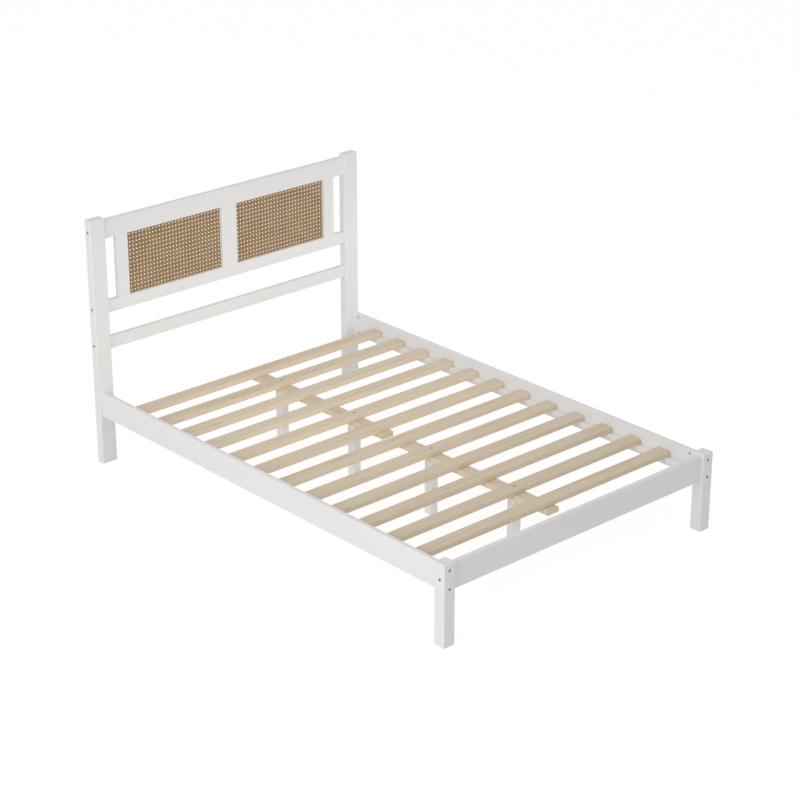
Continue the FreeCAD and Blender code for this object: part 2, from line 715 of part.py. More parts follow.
def barrel_nut(name):
    """Nut along +Z, centred, with a cross hole along X and a driver slot in its upper end."""
    half = "Size.nut_length / 2"
    barrel = cylinder(f"{name}_Barrel", "Size.nut_diameter", "Size.nut_length", f"-{half}")
    thread = doc.addObject("Part::Cylinder", f"{name}_Thread")
    thread.Placement = Placement(Vector(), Rotation(Vector(0, 0, 1), Vector(1, 0, 0)))
    thread.setExpression("Radius", "Size.bolt_diameter / 2 + Size.thread_clearance")
    thread.setExpression("Height", "2 * Size.nut_diameter")
    thread.setExpression("Placement.Base.x", "-Size.nut_diameter")
    slot = doc.addObject("Part::Box", f"{name}_Slot")
    slot.setExpression("Length", "2 * Size.nut_diameter")
    slot.setExpression("Width", "Size.driver_slot_width")
    slot.setExpression("Height", "Size.driver_slot_depth")
    slot.setExpression("Placement.Base.x", "-Size.nut_diameter")
    slot.setExpression("Placement.Base.y", "-Size.driver_slot_width / 2")
    slot.setExpression("Placement.Base.z", f"{half} - Size.driver_slot_depth")
    drilled = joined("Cut", f"{name}_Drilled", barrel, thread)
    return joined("Cut", name, drilled, slot)


def wood_screw(name):
    """Screw along +Z: its flat end is at zero, and its head tapers to the shank."""
    head = doc.addObject("Part::Cone", f"{name}_Head")
    head.setExpression("Radius1", "Size.screw_head_diameter / 2")
    head.setExpression("Radius2", "Size.screw_diameter / 2")
    head.setExpression("Height", "Size.screw_head_height")
    shank = cylinder(f"{name}_Shank", "Size.screw_diameter", "Size.screw_length")
    return joined("Fuse", name, head, shank)


def threaded_insert(name):
    """Sleeve along +Z from its lower end, with a bore for the bolt."""
    sleeve = cylinder(f"{name}_Sleeve", "Size.insert_diameter", "Size.insert_length")
    bore_diameter = "Size.bolt_diameter + 2 * Size.thread_clearance"
    bore = cylinder(f"{name}_Bore", bore_diameter, "Size.insert_length")
    return joined("Cut", name, sleeve, bore)


def group(label, master, spots):
    """Set a copy of the master at each spot, turned by its rotation, and gather the copies in one node."""
    copies = []
    for number, (rotation, place) in enumerate(spots, start=1):
        copy = doc.addObject("App::Link", f"{label}_{number:02d}")
        copy.LinkedObject = master
        copy.Placement = Placement(Vector(), rotation)
        for axis, text in zip("xyz", place):
            copy.setExpression(f"Placement.Base.{axis}", text)
        copies.append(copy)
    gathered = doc.addObject("Part::Compound", label)
    gathered.Label = label
    gathered.Links = copies
    doc.recompute()
    nodes.append(gathered)


UPWARD = Vector(0, 0, 1)
TO_HEAD = Rotation(UPWARD, Vector(0, 1, 0))
TO_FOOT = Rotation(UPWARD, Vector(0, -1, 0))
TO_RIGHT = Rotation(UPWARD, Vector(1, 0, 0))
TO_LEFT = Rotation(UPWARD, Vector(-1, 0, 0))
DOWN = Rotation(UPWARD, Vector(0, 0, -1))
UP = Rotation()


def make_bolts():
    """Bolts through the legs and posts, with their heads just below the outer faces."""
    heights = [f"Place.rail_axis {sign} Size.side_bolt_spacing / 2" for sign in "+-"]
    leg_spots = []
    post_spots = []
    headboard_spots = []
    for side in SIDES.values():
        inward = TO_LEFT if side > 0 else TO_RIGHT
        side_axis = mirrored(side, "Place.side_axis")
        for up in heights:
            leg_spots.append((TO_HEAD, (side_axis, "Place.foot_face + Place.head_seat", up)))
            post_spots.append((TO_FOOT, (side_axis, "Place.head_face - Place.head_seat", up)))
        leg_seat = mirrored(side, "Place.leg_outer - Place.head_seat")
        leg_spots.append((inward, (leg_seat, "Place.foot_rail_axis", "Place.rail_axis")))
        post_seat = mirrored(side, "Place.post_outer - Place.head_seat")
        for bottom, height, _ in HEADBOARD_RAILS.values():
            headboard_spots.append((inward, (post_seat, "Place.frame_axis", f"{bottom} + {height} / 2")))
    reach = "- Place.head_seat + Place.bolt_reach"
    group("leg_bolts", socket_bolt("LegBolt", f"Size.leg_side {reach}"), leg_spots)
    group("post_bolts", socket_bolt("PostBolt", f"Size.post_depth {reach}"), post_spots)
    group("headboard_bolts", socket_bolt("HeadboardBolt", f"Size.post_width {reach}"), headboard_spots)


def nut_turn(outward, bolt_axis):
    """Rotation that puts the slotted end outward and the cross hole along the bolt."""
    return Rotation(bolt_axis, outward.cross(bolt_axis), outward, "ZXY")


def make_barrel_nuts():
    """Barrel nuts in the rails, with their slotted ends towards the open side of each hole."""
    nut = barrel_nut("BarrelNut")
    heights = [f"Place.rail_axis {sign} Size.side_bolt_spacing / 2" for sign in "+-"]
    alongs = ["Place.leg_back + Size.nut_distance", "Place.post_front - Size.nut_distance"]
    rail_spots = []
    headboard_spots = []
    for side in SIDES.values():
        turn = nut_turn(Vector(-side, 0, 0), Vector(0, 1, 0))
        side_axis = mirrored(side, "Place.side_axis")
        for along in alongs:
            for up in heights:
                rail_spots.append((turn, (side_axis, along, up)))
        turn = nut_turn(Vector(0, 1, 0), Vector(1, 0, 0))
        foot_x = mirrored(side, "Place.leg_inner - Size.nut_distance")
        rail_spots.append((turn, (foot_x, "Place.foot_rail_axis", "Place.rail_axis")))
        head_x = mirrored(side, "Place.post_inner - Size.nut_distance")
        for bottom, height, _ in HEADBOARD_RAILS.values():
            headboard_spots.append((turn, (head_x, "Place.frame_axis", f"{bottom} + {height} / 2")))
    group("rail_barrel_nuts", nut, rail_spots)
    group("headboard_barrel_nuts", nut, headboard_spots)


def make_dowels():
    """Dowels at the ends of the rails and stiles, half in each member."""
    dowel = cylinder("Dowel", "Size.dowel_diameter", "Size.dowel_length")
    half = "Size.dowel_length / 2"
    rail_spots = []
    headboard_spots = []
    for side in SIDES.values():
        side_axis = mirrored(side, "Place.side_axis")
        for joint in ("Place.leg_back", "Place.post_front"):
            rail_spots.append((TO_HEAD, (side_axis, f"{joint} - {half}", "Place.rail_axis")))
        foot_joint = f"{mirrored(side, 'Place.leg_inner')} - {half}"
        head_joint = f"{mirrored(side, 'Place.post_inner')} - {half}"
        for sign in "+-":
            up = f"Place.rail_axis {sign} Size.foot_dowel_spacing / 2"
            rail_spots.append((TO_RIGHT, (foot_joint, "Place.foot_rail_axis", up)))
            for bottom, height, spacing in HEADBOARD_RAILS.values():
                up = f"{bottom} + {height} / 2 {sign} {spacing} / 2"
                headboard_spots.append((TO_RIGHT, (head_joint, "Place.frame_axis", up)))
    group("rail_dowels", dowel, rail_spots)
    group("headboard_dowels", dowel, headboard_spots)
    stile_spots = [
        (UP, (across, "Place.frame_axis", f"{joint} - {half}"))
        for across in stile_dowel_places()
        for joint in ("Place.panel_bottom", "Place.panel_top")
    ]
    group("stile_dowels", dowel, stile_spots)


def make_slat_fasteners():
    """Pins and screws at the ledgers, and the bolts and inserts of the centre legs."""
    pin_spots = []
    screw_spots = []
    for side in SIDES.values():
        for index in range(round(amount("Size.slat_count"))):
            across = mirrored(side, "Place.ledger_axis")
            pin_spots.append((UP, (across, slat_place(index), "Place.slat_bottom - Size.pin_length / 2")))
        for number in range(round(amount("Size.screw_count"))):
            outward = TO_RIGHT if side > 0 else TO_LEFT
            along = f"{slat_place(number * SLATS_PER_SCREW)} + Size.screw_offset"
            up = "Place.ledger_bottom + Size.ledger_height / 2"
            screw_spots.append((outward, (mirrored(side, "Place.ledger_inner"), along, up)))
    group("slat_pins", cylinder("SlatPin", "Size.pin_diameter", "Size.pin_length"), pin_spots)
    group("ledger_screws", wood_screw("LedgerScrew"), screw_spots)
    length = "Size.slat_thickness - Place.head_seat + Size.beam_thickness + Size.centre_bolt_reach"
    bolt_spots = []
    insert_spots = []
    for index in centre_leg_slats():
        bolt_spots.append((DOWN, ("0", slat_place(index), "Place.slat_top - Place.head_seat")))
        insert_spots.append((UP, ("0", slat_place(index), "Place.beam_bottom - Size.insert_length")))
    group("centre_leg_bolts", socket_bolt("CentreLegBolt", length), bolt_spots)
    group("centre_leg_inserts", threaded_insert("CentreLegInsert"), insert_spots)


def check_document():
    """Stop if any object failed, any node is not sound, or any cut took nothing away."""
    for item in doc.Objects:
        if "Invalid" in item.State or "Error" in item.State:
            raise RuntimeError(f"{item.Label} failed: {item.State}")
        if item.TypeId == "PartDesign::Pocket":
            if item.Shape.Volume >= item.BaseFeature.Shape.Volume:
                raise RuntimeError(f"{item.Label} cuts nothing")
    for node in nodes:
        if node.Shape.isNull() or not node.Shape.isValid():
            raise RuntimeError(f"{node.Label} has no valid shape")


def write_parts():
    """Write one STEP file for each node, named by its label."""
    os.makedirs("parts", exist_ok=True)
    for node in nodes:
        node.Shape.exportStep(os.path.join("parts", f"{node.Label}.step"))
        print(node.Label, len(node.Shape.Solids), round(node.Shape.Volume))


make_foot_legs()
make_head_posts()
make_side_rails()
make_foot_rail()
make_ledgers()
make_slats()
make_beams()
make_centre_legs()
make_headboard_rails()
make_stiles()
make_cane_panels()
make_bolts()
make_barrel_nuts()
make_dowels()
make_slat_fasteners()
doc.recompute()
check_document()
write_parts()
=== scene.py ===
"""Platform bed in white-painted pine with bare pine slats and a cane headboard.

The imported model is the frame. Each board, cane sheet, bolt, nut and screw is modelled here over
its own node of that frame. The dowels, pins and inserts inside the wood keep their node's mesh
and get a finish. Then come the camera, the lamps and the floor.
Lengths are in metres. +Z is up, the headboard stands at +Y and the foot end is at -Y.
"""

import logging
import math
from dataclasses import dataclass
from enum import Enum
from typing import Callable, Iterable, Sequence

import bmesh
import bpy
from mathutils import Matrix, Vector


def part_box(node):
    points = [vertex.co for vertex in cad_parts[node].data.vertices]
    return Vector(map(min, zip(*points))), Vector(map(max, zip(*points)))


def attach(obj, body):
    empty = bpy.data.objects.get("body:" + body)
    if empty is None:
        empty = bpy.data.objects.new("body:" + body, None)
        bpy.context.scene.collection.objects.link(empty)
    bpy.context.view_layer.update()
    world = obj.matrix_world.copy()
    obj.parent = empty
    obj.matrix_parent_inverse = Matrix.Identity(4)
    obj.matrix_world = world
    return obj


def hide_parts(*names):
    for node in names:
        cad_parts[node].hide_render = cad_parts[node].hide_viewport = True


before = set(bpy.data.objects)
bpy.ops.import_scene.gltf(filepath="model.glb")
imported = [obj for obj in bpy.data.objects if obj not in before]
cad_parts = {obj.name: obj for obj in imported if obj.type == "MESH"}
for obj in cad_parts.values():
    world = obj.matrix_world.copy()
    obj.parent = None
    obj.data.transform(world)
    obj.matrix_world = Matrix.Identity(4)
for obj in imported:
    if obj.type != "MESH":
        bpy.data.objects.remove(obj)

Piece = bpy.types.Object
Socket = bpy.types.NodeSocket
Box = tuple[Vector, Vector]
Colour = tuple[float, float, float, float]
Place = tuple[float, float, float]
Span = tuple[float, float]

LOG = logging.getLogger("platform_bed")
BODY = "root"
TINY = 1e-5
END_FACE = 0.9  # a face whose normal leans along a bar by more than this is at its end
SMOOTH_UP_TO = math.radians(40)  # edges sharper than this stay sharp


class Axis(Enum):
    """One of the three directions of the bed."""

    X = 0
    Y = 1
    Z = 2

    @property
    def vector(self) -> Vector:
        """Unit vector along the axis."""
        return Vector([1.0 if i == self.value else 0.0 for i in range(3)])


ACROSS = Axis.X.vector
UP = Axis.Z.vector


class Face(Enum):
    """A face of a board: the axis that it looks along, and which way."""

    LEFT = (Axis.X, -1)
    RIGHT = (Axis.X, 1)
    FRONT = (Axis.Y, -1)
    BACK = (Axis.Y, 1)
    TOP = (Axis.Z, 1)

    @property
    def axis(self) -> Axis:
        """Axis of the face's normal."""
        return self.value[0]

    @property
    def sign(self) -> int:
        """Direction of the normal along that axis."""
        return self.value[1]


class Side(Enum):
    """Left and right, as seen from the foot end, by the faces that look out and in."""

    LEFT = (Face.LEFT, Face.RIGHT)
    RIGHT = (Face.RIGHT, Face.LEFT)

    @property
    def word(self) -> str:
        """The word that node names use."""
        return self.name.lower()

    @property
    def outer(self) -> Face:
        """Face that looks away from the bed's middle."""
        return self.value[0]

    @property
    def inner(self) -> Face:
        """Face that looks towards the bed's middle."""
        return self.value[1]


# --- The workbench: operators for modelling, as by hand ---


def deselect() -> None:
    """Leave object mode as the only mode and select nothing."""
    if bpy.context.object and bpy.context.object.mode != "OBJECT":
        bpy.ops.object.mode_set(mode="OBJECT")
    bpy.ops.object.select_all(action="DESELECT")


def pick(piece: Piece) -> None:
    """Make one object the selected and active one.

    Args:
        piece: The object.
    """
    deselect()
    piece.select_set(True)
    bpy.context.view_layer.objects.active = piece


def settle(piece: Piece) -> None:
    """Put an object's place, turn and scale into its mesh."""
    pick(piece)
    bpy.ops.object.transform_apply(location=True, rotation=True, scale=True)


def rename(piece: Piece, name: str) -> None:
    """Give an object and its mesh the same name."""
    piece.name = name
    piece.data.name = name


def fresh(name: str) -> Piece:
    """Name the primitive that was just added, and put its place into its mesh.

    Args:
        name: Name of the object and its mesh.

    Returns:
        The object.
    """
    piece = bpy.context.object
    rename(piece, name)
    settle(piece)
    return piece


def add_block(name: str, low: Vector, high: Vector) -> Piece:
    """Add a cube between two corners.

    Args:
        name: Name of the object and its mesh.
        low: Lowest corner.
        high: Highest corner.

    Returns:
        The new object, with its place in its mesh.
    """
    deselect()
    bpy.ops.mesh.primitive_cube_add(size=1.0, location=(low + high) / 2, scale=high - low)
    return fresh(name)


def add_bar(
    name: str, middle: Vector, along: Vector, radius: float, length: float, sides: int
) -> Piece:
    """Add a round or many-sided bar.

    Args:
        name: Name of the object and its mesh.
        middle: Middle of the bar.
        along: Direction of its length.
        radius: Radius over its corners.
        length: Length from end to end.
        sides: Number of its sides.

    Returns:
        The new object, with its place in its mesh.
    """
    deselect()
    turn = along.to_track_quat("Z", "Y").to_euler()
    bpy.ops.mesh.primitive_cylinder_add(
        vertices=sides, radius=radius, depth=length, location=middle, rotation=turn
    )
    return fresh(name)


def edit(piece: Piece) -> None:
    """Enter edit mode on one piece."""
    pick(piece)
    bpy.ops.object.mode_set(mode="EDIT")


def leave() -> None:
    """Go back to object mode."""
    bpy.ops.object.mode_set(mode="OBJECT")


def take_all() -> None:
    """Select the whole mesh in edit mode."""
    bpy.ops.mesh.select_all(action="SELECT")


def choose(piece: Piece, kind: str, test: Callable[[object], bool]) -> None:
    """Select the vertices, edges or faces of a piece that pass a test, in edit mode.

    Args:
        piece: The object in edit mode.
        kind: VERT, EDGE or FACE.
        test: Takes one element and says whether it is wanted.
    """
    bpy.ops.mesh.select_mode(type=kind)
    bpy.ops.mesh.select_all(action="DESELECT")
    mesh = bmesh.from_edit_mesh(piece.data)
    for item in {"VERT": mesh.verts, "EDGE": mesh.edges, "FACE": mesh.faces}[kind]:
        if test(item):
            item.select_set(True)
    mesh.select_flush_mode()
    bmesh.update_edit_mesh(piece.data)


def choose_level(piece: Piece, level: float) -> None:
    """Select the vertices at one level along Z, in edit mode."""
    choose(piece, "VERT", lambda vertex: abs(vertex.co.z - level) < TINY)


def open_ends(piece: Piece) -> None:
    """Take both end faces off a bar along Z, in edit mode, and select the rest.

    Args:
        piece: The bar.
    """
    choose(piece, "FACE", lambda face: abs(face.normal.z) > END_FACE)
    bpy.ops.mesh.delete(type="ONLY_FACE")
    take_all()


def turn_outwards() -> None:
    """Turn all faces of the mesh in edit mode outwards."""
    take_all()
    bpy.ops.mesh.normals_make_consistent(inside=False)


def bevel(piece: Piece, test: Callable[[object], bool], width: float, segments: int) -> None:
    """Bevel the edges of a piece that pass a test.

    Args:
        piece: The piece, in object mode.
        test: Takes an edge and says whether it is wanted.
        width: Width of the bevel on each side of the edge.
        segments: Number of faces across it.
    """
    edit(piece)
    choose(piece, "EDGE", test)
    bpy.ops.mesh.bevel(offset=width, segments=segments, profile=0.5, affect="EDGES")
    leave()


def apply(piece: Piece, kind: str, **settings: object) -> None:
    """Add a modifier with its settings and apply it.

    Args:
        piece: The object that gets the modifier.
        kind: Type of the modifier.
        settings: Values of the modifier's properties.
    """
    pick(piece)
    modifier = piece.modifiers.new(kind.title(), kind)
    for key, value in settings.items():
        setattr(modifier, key, value)
    bpy.ops.object.modifier_apply(modifier=modifier.name)


def repeat(piece: Piece, count: int, step: Sequence[float], **settings: object) -> None:
    """Repeat a mesh in a straight row.

    Args:
        piece: The object.
        count: Number of repeats, with the first.
        step: Way from one to the next.
        settings: More values for the array modifier.
    """
    fixed = {"use_relative_offset": False, "use_constant_offset": True}
    apply(piece, "ARRAY", count=count, constant_offset_displace=step, **fixed, **settings)


def join(pieces: Sequence[Piece], name: str) -> Piece:
    """Join several objects into the first one and rename it.

    Args:
        pieces: The objects, at least one.
        name: Name of the joined object and its mesh.

    Returns:
        The joined object.
    """
    deselect()
    for piece in pieces:
        piece.select_set(True)
    bpy.context.view_layer.objects.active = pieces[0]
    if len(pieces) > 1:
        bpy.ops.object.join()
    rename(pieces[0], name)
    return pieces[0]


def carve(piece: Piece, cutter: Piece) -> None:
    """Take the cutter's volume out of the piece, and remove the cutter."""
    apply(piece, "BOOLEAN", operation="DIFFERENCE", object=cutter, solver="EXACT")
    bpy.data.objects.remove(cutter)


def smooth(piece: Piece) -> None:
    """Shade a piece smooth across its rounded edges, with the flats kept flat.

    Args:
        piece: The piece.
    """
    pick(piece)
    bpy.ops.object.shade_smooth_by_angle(angle=SMOOTH_UP_TO)
    apply(piece, "WEIGHTED_NORMAL", keep_sharp=True, weight=100)


def corners(points: Sequence[Vector]) -> Box:
    """Box around some points.

    Args:
        points: The points.

    Returns:
        Its lowest and its highest corner.
    """
    low = Vector([min(point[i] for point in points) for i in range(3)])
    high = Vector([max(point[i] for point in points) for i in range(3)])
    return low, high


def middle_of(node: str) -> Vector:
    """Middle of the box of a node of the frame."""
    low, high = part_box(node)
    return (low + high) / 2


def store(piece: Piece, name: str, kind: str, domain: str, values: list[float]) -> None:
    """Store values on a mesh, for the finishes.

    Args:
        piece: The piece.
        name: Name of the attribute.
        kind: FLOAT or FLOAT_VECTOR.
        domain: POINT or FACE.
        values: The numbers, one or three for each element.
    """
    attribute = piece.data.attributes.new(name, kind, domain)
    attribute.data.foreach_set("vector" if kind == "FLOAT_VECTOR" else "value", values)


GOLDEN = 0.6180339887
PITH_UNDER = 0.03  # least depth of the tree's pith under the middle of the board
PITH_DEEPER = 0.06  # most that is added to that depth
PITH_ASIDE = 0.08  # width in which the pith lies, about the middle of the board
PITH_ALONG = 9.0  # length of the tree that the boards are cut from
LEVEL_FACE = 0.9999  # a normal's largest part, from which a face counts as flat on the board


def spread(order: int, step: int) -> float:
    """Share from 0 to 1 for one board, far from the shares of the boards beside it."""
    return order * GOLDEN * step % 1.0


def mark(piece: Piece, order: int) -> None:
    """Store what the finishes read: where the pith lies, the board's tone, and its eased faces.

    The pith of the tree lies under the broad face of the board, a little to one side.

    Args:
        piece: The finished mesh.
        order: Running number, from which each board's pith and tone follow.
    """
    vertices, faces = piece.data.vertices, piece.data.polygons
    low, high = corners([vertex.co for vertex in vertices])
    thick, broad, long = sorted(range(3), key=lambda i: high[i] - low[i])
    pith = (low + high) / 2
    pith[thick] -= PITH_UNDER + PITH_DEEPER * spread(order, 1)
    pith[broad] += PITH_ASIDE * (spread(order, 3) - 0.5)
    pith[long] -= PITH_ALONG * spread(order, 7)
    # the eased faces are where the finishes pale the edges: partly worn finish, partly a painted
    # highlight
    eased = [float(max(abs(part) for part in face.normal) <= LEVEL_FACE) for face in faces]
    store(piece, "pith", "FLOAT_VECTOR", "POINT", [part for _ in vertices for part in pith])
    store(piece, "board_tone", "FLOAT", "POINT", [spread(order, 5)] * len(vertices))
    store(piece, "eased", "FLOAT", "FACE", eased)


def stand_for(piece: Piece, node: str, slot: str) -> None:
    """Fix a finished piece to the bed in place of its node, and report it.

    Args:
        piece: The finished piece.
        node: Node of the frame that it replaces.
        slot: Slot of its material in the record; not used.
    """
    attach(piece, BODY)
    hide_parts(node)
    LOG.info("%s: %d faces", piece.name, len(piece.data.polygons))


# --- Shader nodes ---

COLOUR_INPUTS = (0, 6, 7)  # share, first and second colour of a mix node
COLOUR_RESULT = 2
WHITE = (1.0, 1.0, 1.0, 1.0)


class Nodes:
    """A node tree being laid out, for a material, the world or a shader group."""

    def __init__(self, tree: bpy.types.NodeTree) -> None:
        """Start on an empty tree."""
        self.tree = tree
        tree.nodes.clear()

    def add(self, kind: str, **settings: object) -> bpy.types.Node:
        """Add a node and set its properties.

        Args:
            kind: Type of the node.
            settings: Values of its properties.

        Returns:
            The new node.
        """
        node = self.tree.nodes.new(kind)
        for key, value in settings.items():
            setattr(node, key, value)
        return node

    def feed(self, target: Socket, value: object) -> None:
        """Link a socket, or set its value when a plain number or tuple is given.

        Args:
            target: The socket.
            value: Another socket, a number or a tuple.
        """
        if isinstance(value, Socket):
            self.tree.links.new(value, target)
        else:
            target.default_value = value

    def fill(self, node: bpy.types.Node, **values: object) -> bpy.types.Node:
        """Feed inputs of a node by their names.

        Args:
            node: The node.
            values: What each input gets; its name has _ for a space.

        Returns:
            The same node.
        """
        for key, value in values.items():
            self.feed(node.inputs[key.replace("_", " ")], value)
        return node

    def chain(self, node: bpy.types.Node, *values: object) -> Socket:
        """Feed a node's first inputs in their order.

        Args:
            node: The node.
            values: What each input gets.

        Returns:
            The node's first output.
        """
        for socket, value in zip(node.inputs, values):
            self.feed(socket, value)
        return node.outputs[0]

    def math(self, operation: str, *values: object, clamp: bool = False) -> Socket:
        """Result of a math node over sockets or numbers."""
        node = self.add("ShaderNodeMath", operation=operation, use_clamp=clamp)
        return self.chain(node, *values)

    def plus(self, value: Socket, share: float, ground: object) -> Socket:
        """A ground value with a share of another value on top."""
        return self.math("MULTIPLY_ADD", value, share, ground)

    def scaled(self, vector: Socket, factors: object) -> Socket:
        """A vector with each of its parts multiplied by a factor."""
        node = self.add("ShaderNodeVectorMath", operation="MULTIPLY")
        return self.chain(node, vector, factors)

    def noise(
        self, vector: object, scale: object, detail: float = 2.0, rough: float = 0.5
    ) -> Socket:
        """Add a noise texture.

        Args:
            vector: Coordinates.
            scale: Number of its waves in a metre.
            detail: Number of finer layers.
            rough: Share of each finer layer.

        Returns:
            Its value.
        """
        node = self.add("ShaderNodeTexNoise")
        self.fill(node, Vector=vector, Scale=scale, Detail=detail, Roughness=rough)
        return node.outputs[0]

    def mix(self, share: object, first: object, second: object) -> Socket:
        """Mix two colours.

        Args:
            share: Share of the second colour.
            first: A colour, or the socket of one.
            second: Another one.

        Returns:
            Socket of the mixed colour.
        """
        node = self.add("ShaderNodeMix", data_type="RGBA")
        for number, value in zip(COLOUR_INPUTS, (share, first, second)):
            self.feed(node.inputs[number], value)
        return node.outputs[COLOUR_RESULT]

    def blend(self, share: Socket, first: Socket, second: Socket) -> Socket:
        """Mix two shaders; the share is the second one's."""
        return self.chain(self.add("ShaderNodeMixShader"), share, first, second)

    def ramp(self, value: object, span: Span, onto: Span = (0.0, 1.0)) -> Socket:
        """Map one span of a value onto another, with smooth ends."""
        node = self.add("ShaderNodeMapRange", interpolation_type="SMOOTHSTEP")
        return self.chain(node, value, *span, *onto)

    def relief(self, height: Socket, depth: float, strength: float) -> Socket:
        """Normal of a surface raised by a height of the given depth."""
        bump = self.add("ShaderNodeBump")
        return self.fill(bump, Strength=strength, Distance=depth, Height=height).outputs[0]

    def place(self, turn: Place = (0.0, 0.0, 0.0)) -> Socket:
        """Object coordinates, turned so that the piece's grain runs along X."""
        return self.turned(self.add("ShaderNodeTexCoord").outputs["Object"], turn)

    def board_place(self, turn: Place) -> Socket:
        """Object coordinates counted from the board's own pith, turned like the others.

        Args:
            turn: Turn about X, Y and Z.

        Returns:
            Socket of the coordinates.
        """
        coordinates = self.add("ShaderNodeTexCoord").outputs["Object"]
        node = self.add("ShaderNodeVectorMath", operation="SUBTRACT")
        return self.turned(self.chain(node, coordinates, self.attribute("pith", "Vector")), turn)

    def turned(self, vector: Socket, turn: Place) -> Socket:
        """Coordinates turned about X, Y and Z."""
        node = self.fill(self.add("ShaderNodeMapping"), Vector=vector, Rotation=turn)
        return node.outputs["Vector"]

    def attribute(self, name: str, output: str = "Fac") -> Socket:
        """Value stored on the mesh."""
        return self.add("ShaderNodeAttribute", attribute_name=name).outputs[output]

    def group(self, tree: bpy.types.NodeTree, **values: object) -> bpy.types.NodeOutputs:
        """Place a shader group and feed its inputs; returns its outputs."""
        return self.fill(self.add("ShaderNodeGroup", node_tree=tree), **values).outputs


def new_group(
    name: str, inputs: Iterable[str], outputs: Iterable[str]
) -> tuple[Nodes, dict[str, Socket], bpy.types.Node]:
    """Start a shader group that takes a vector and some numbers.

    Args:
        name: Name of the group.
        inputs: Names of the numbers that it takes.
        outputs: Names of the numbers that it gives.

    Returns:
        The layout, what the group is given by name, and the node that takes its results.
    """
    tree = bpy.data.node_groups.new(name, "ShaderNodeTree")
    layout = Nodes(tree)
    tree.interface.new_socket("Vector", in_out="INPUT", socket_type="NodeSocketVector")
    for way, titles in (("INPUT", inputs), ("OUTPUT", outputs)):
        for title in titles:
            tree.interface.new_socket(title, in_out=way, socket_type="NodeSocketFloat")
    given = {socket.name: socket for socket in layout.add("NodeGroupInput").outputs}
    return layout, given, layout.add("NodeGroupOutput")


class Effects:
    """Shader groups that several finishes share."""

    LONG_RINGS = (0.05, 1.0, 1.0)
    RING_DETAIL = 2.0
    RING_DETAIL_SCALE = 0.6
    LATE_WOOD = (0.35, 1.0)
    STRIPE_SCALE = 28.0
    PORES = (0.56, 0.72)
    MARKS_FINER = 14.0
    MARKS = (0.5, 0.8)
    # patchy share of the eased edges that the finishes pale: partly worn finish, partly a painted
    # highlight
    RUB_PATCHES = (0.42, 0.7)
    RUB_SHARE = (0.25, 1.0)

    def __init__(self) -> None:
        """Build each group once."""
        self.grain = self.build_grain()
        self.fibre = self.build_fibre()
        self.cloud = self.build_cloud()
        self.wear = self.build_wear()

    def build_grain(self) -> bpy.types.NodeTree:
        """Lay out the year rings of sawn wood around a pith that runs along X.

        Returns:
            The group.
        """
        layout, given, result = new_group(
            "YearRings", ("Ring Scale", "Wander"), ("Late Wood", "Stripe")
        )
        stretched = layout.scaled(given["Vector"], self.LONG_RINGS)
        rings = layout.add(
            "ShaderNodeTexWave", wave_type="RINGS", rings_direction="X", wave_profile="SAW"
        )
        layout.fill(
            rings,
            Vector=stretched,
            Scale=given["Ring Scale"],
            Distortion=given["Wander"],
            Detail=self.RING_DETAIL,
            Detail_Scale=self.RING_DETAIL_SCALE,
        )
        late = layout.ramp(rings.outputs["Fac"], self.LATE_WOOD)
        stripe = layout.noise(stretched, self.STRIPE_SCALE, detail=3.0, rough=0.6)
        layout.fill(result, Late_Wood=late, Stripe=stripe)
        return layout.tree

    def build_fibre(self) -> bpy.types.NodeTree:
        """Lay out fine fibres and pores along X.

        Returns:
            The group.
        """
        layout, given, result = new_group("Fibres", ("Scale", "Stretch"), ("Fibre", "Pore"))
        thin = layout.chain(layout.add("ShaderNodeCombineXYZ"), given["Stretch"], 1.0, 1.0)
        stretched = layout.scaled(given["Vector"], thin)
        fine = layout.noise(stretched, given["Scale"], detail=3.0, rough=0.65)
        layout.fill(result, Fibre=fine, Pore=layout.ramp(fine, self.PORES))
        return layout.tree

    def build_cloud(self) -> bpy.types.NodeTree:
        """Lay out a slow change of tone, with handling marks on a smaller scale.

        Returns:
            The group.
        """
        layout, given, result = new_group("Cloud", ("Size",), ("Tone", "Marks"))
        tone = layout.noise(given["Vector"], given["Size"])
        finer = layout.math("MULTIPLY", given["Size"], self.MARKS_FINER)
        handled = layout.noise(given["Vector"], finer, detail=4.0, rough=0.6)
        marks = layout.ramp(handled, self.MARKS)
        layout.fill(result, Tone=tone, Marks=marks)
        return layout.tree

    def build_wear(self) -> bpy.types.NodeTree:
        """Lay out an uneven patchy share along the eased edges of a board, by which the finishes
        pale those edges: partly worn finish, partly a painted highlight.

        Returns:
            The group.
        """
        layout, given, result = new_group("EdgeWear", ("Edge", "Scale"), ("Rub",))
        noise = layout.noise(given["Vector"], given["Scale"], detail=3.0)
        patchy = layout.ramp(noise, self.RUB_PATCHES, self.RUB_SHARE)
        layout.fill(result, Rub=layout.math("MULTIPLY", patchy, given["Edge"]))
        return layout.tree


# --- Finishes ---

GRAIN_TURNS = {
    Axis.X: (0.0, 0.0, 0.0),
    Axis.Y: (0.0, 0.0, math.radians(-90)),
    Axis.Z: (0.0, math.radians(90), 0.0),
}
CLOUDY = (0.3, 0.7)  # span of a cloud's tone over which one colour passes into another


def srgb(red: int, green: int, blue: int) -> Colour:
    """Colour from its 0 to 255 values, as the linear colour that a shader takes.

    Args:
        red: Red part.
        green: Green part.
        blue: Blue part.

    Returns:
        The linear colour, opaque.
    """

    def linear(value: float) -> float:
        """Undo the display curve for one channel."""
        value /= 255
        return value / 12.92 if value <= 0.04045 else ((value + 0.055) / 1.055) ** 2.4

    return (linear(red), linear(green), linear(blue), 1.0)


@dataclass(frozen=True)
class Coat:
    """A material, and the slot that it has in the record."""

    material: bpy.types.Material
    slot: str


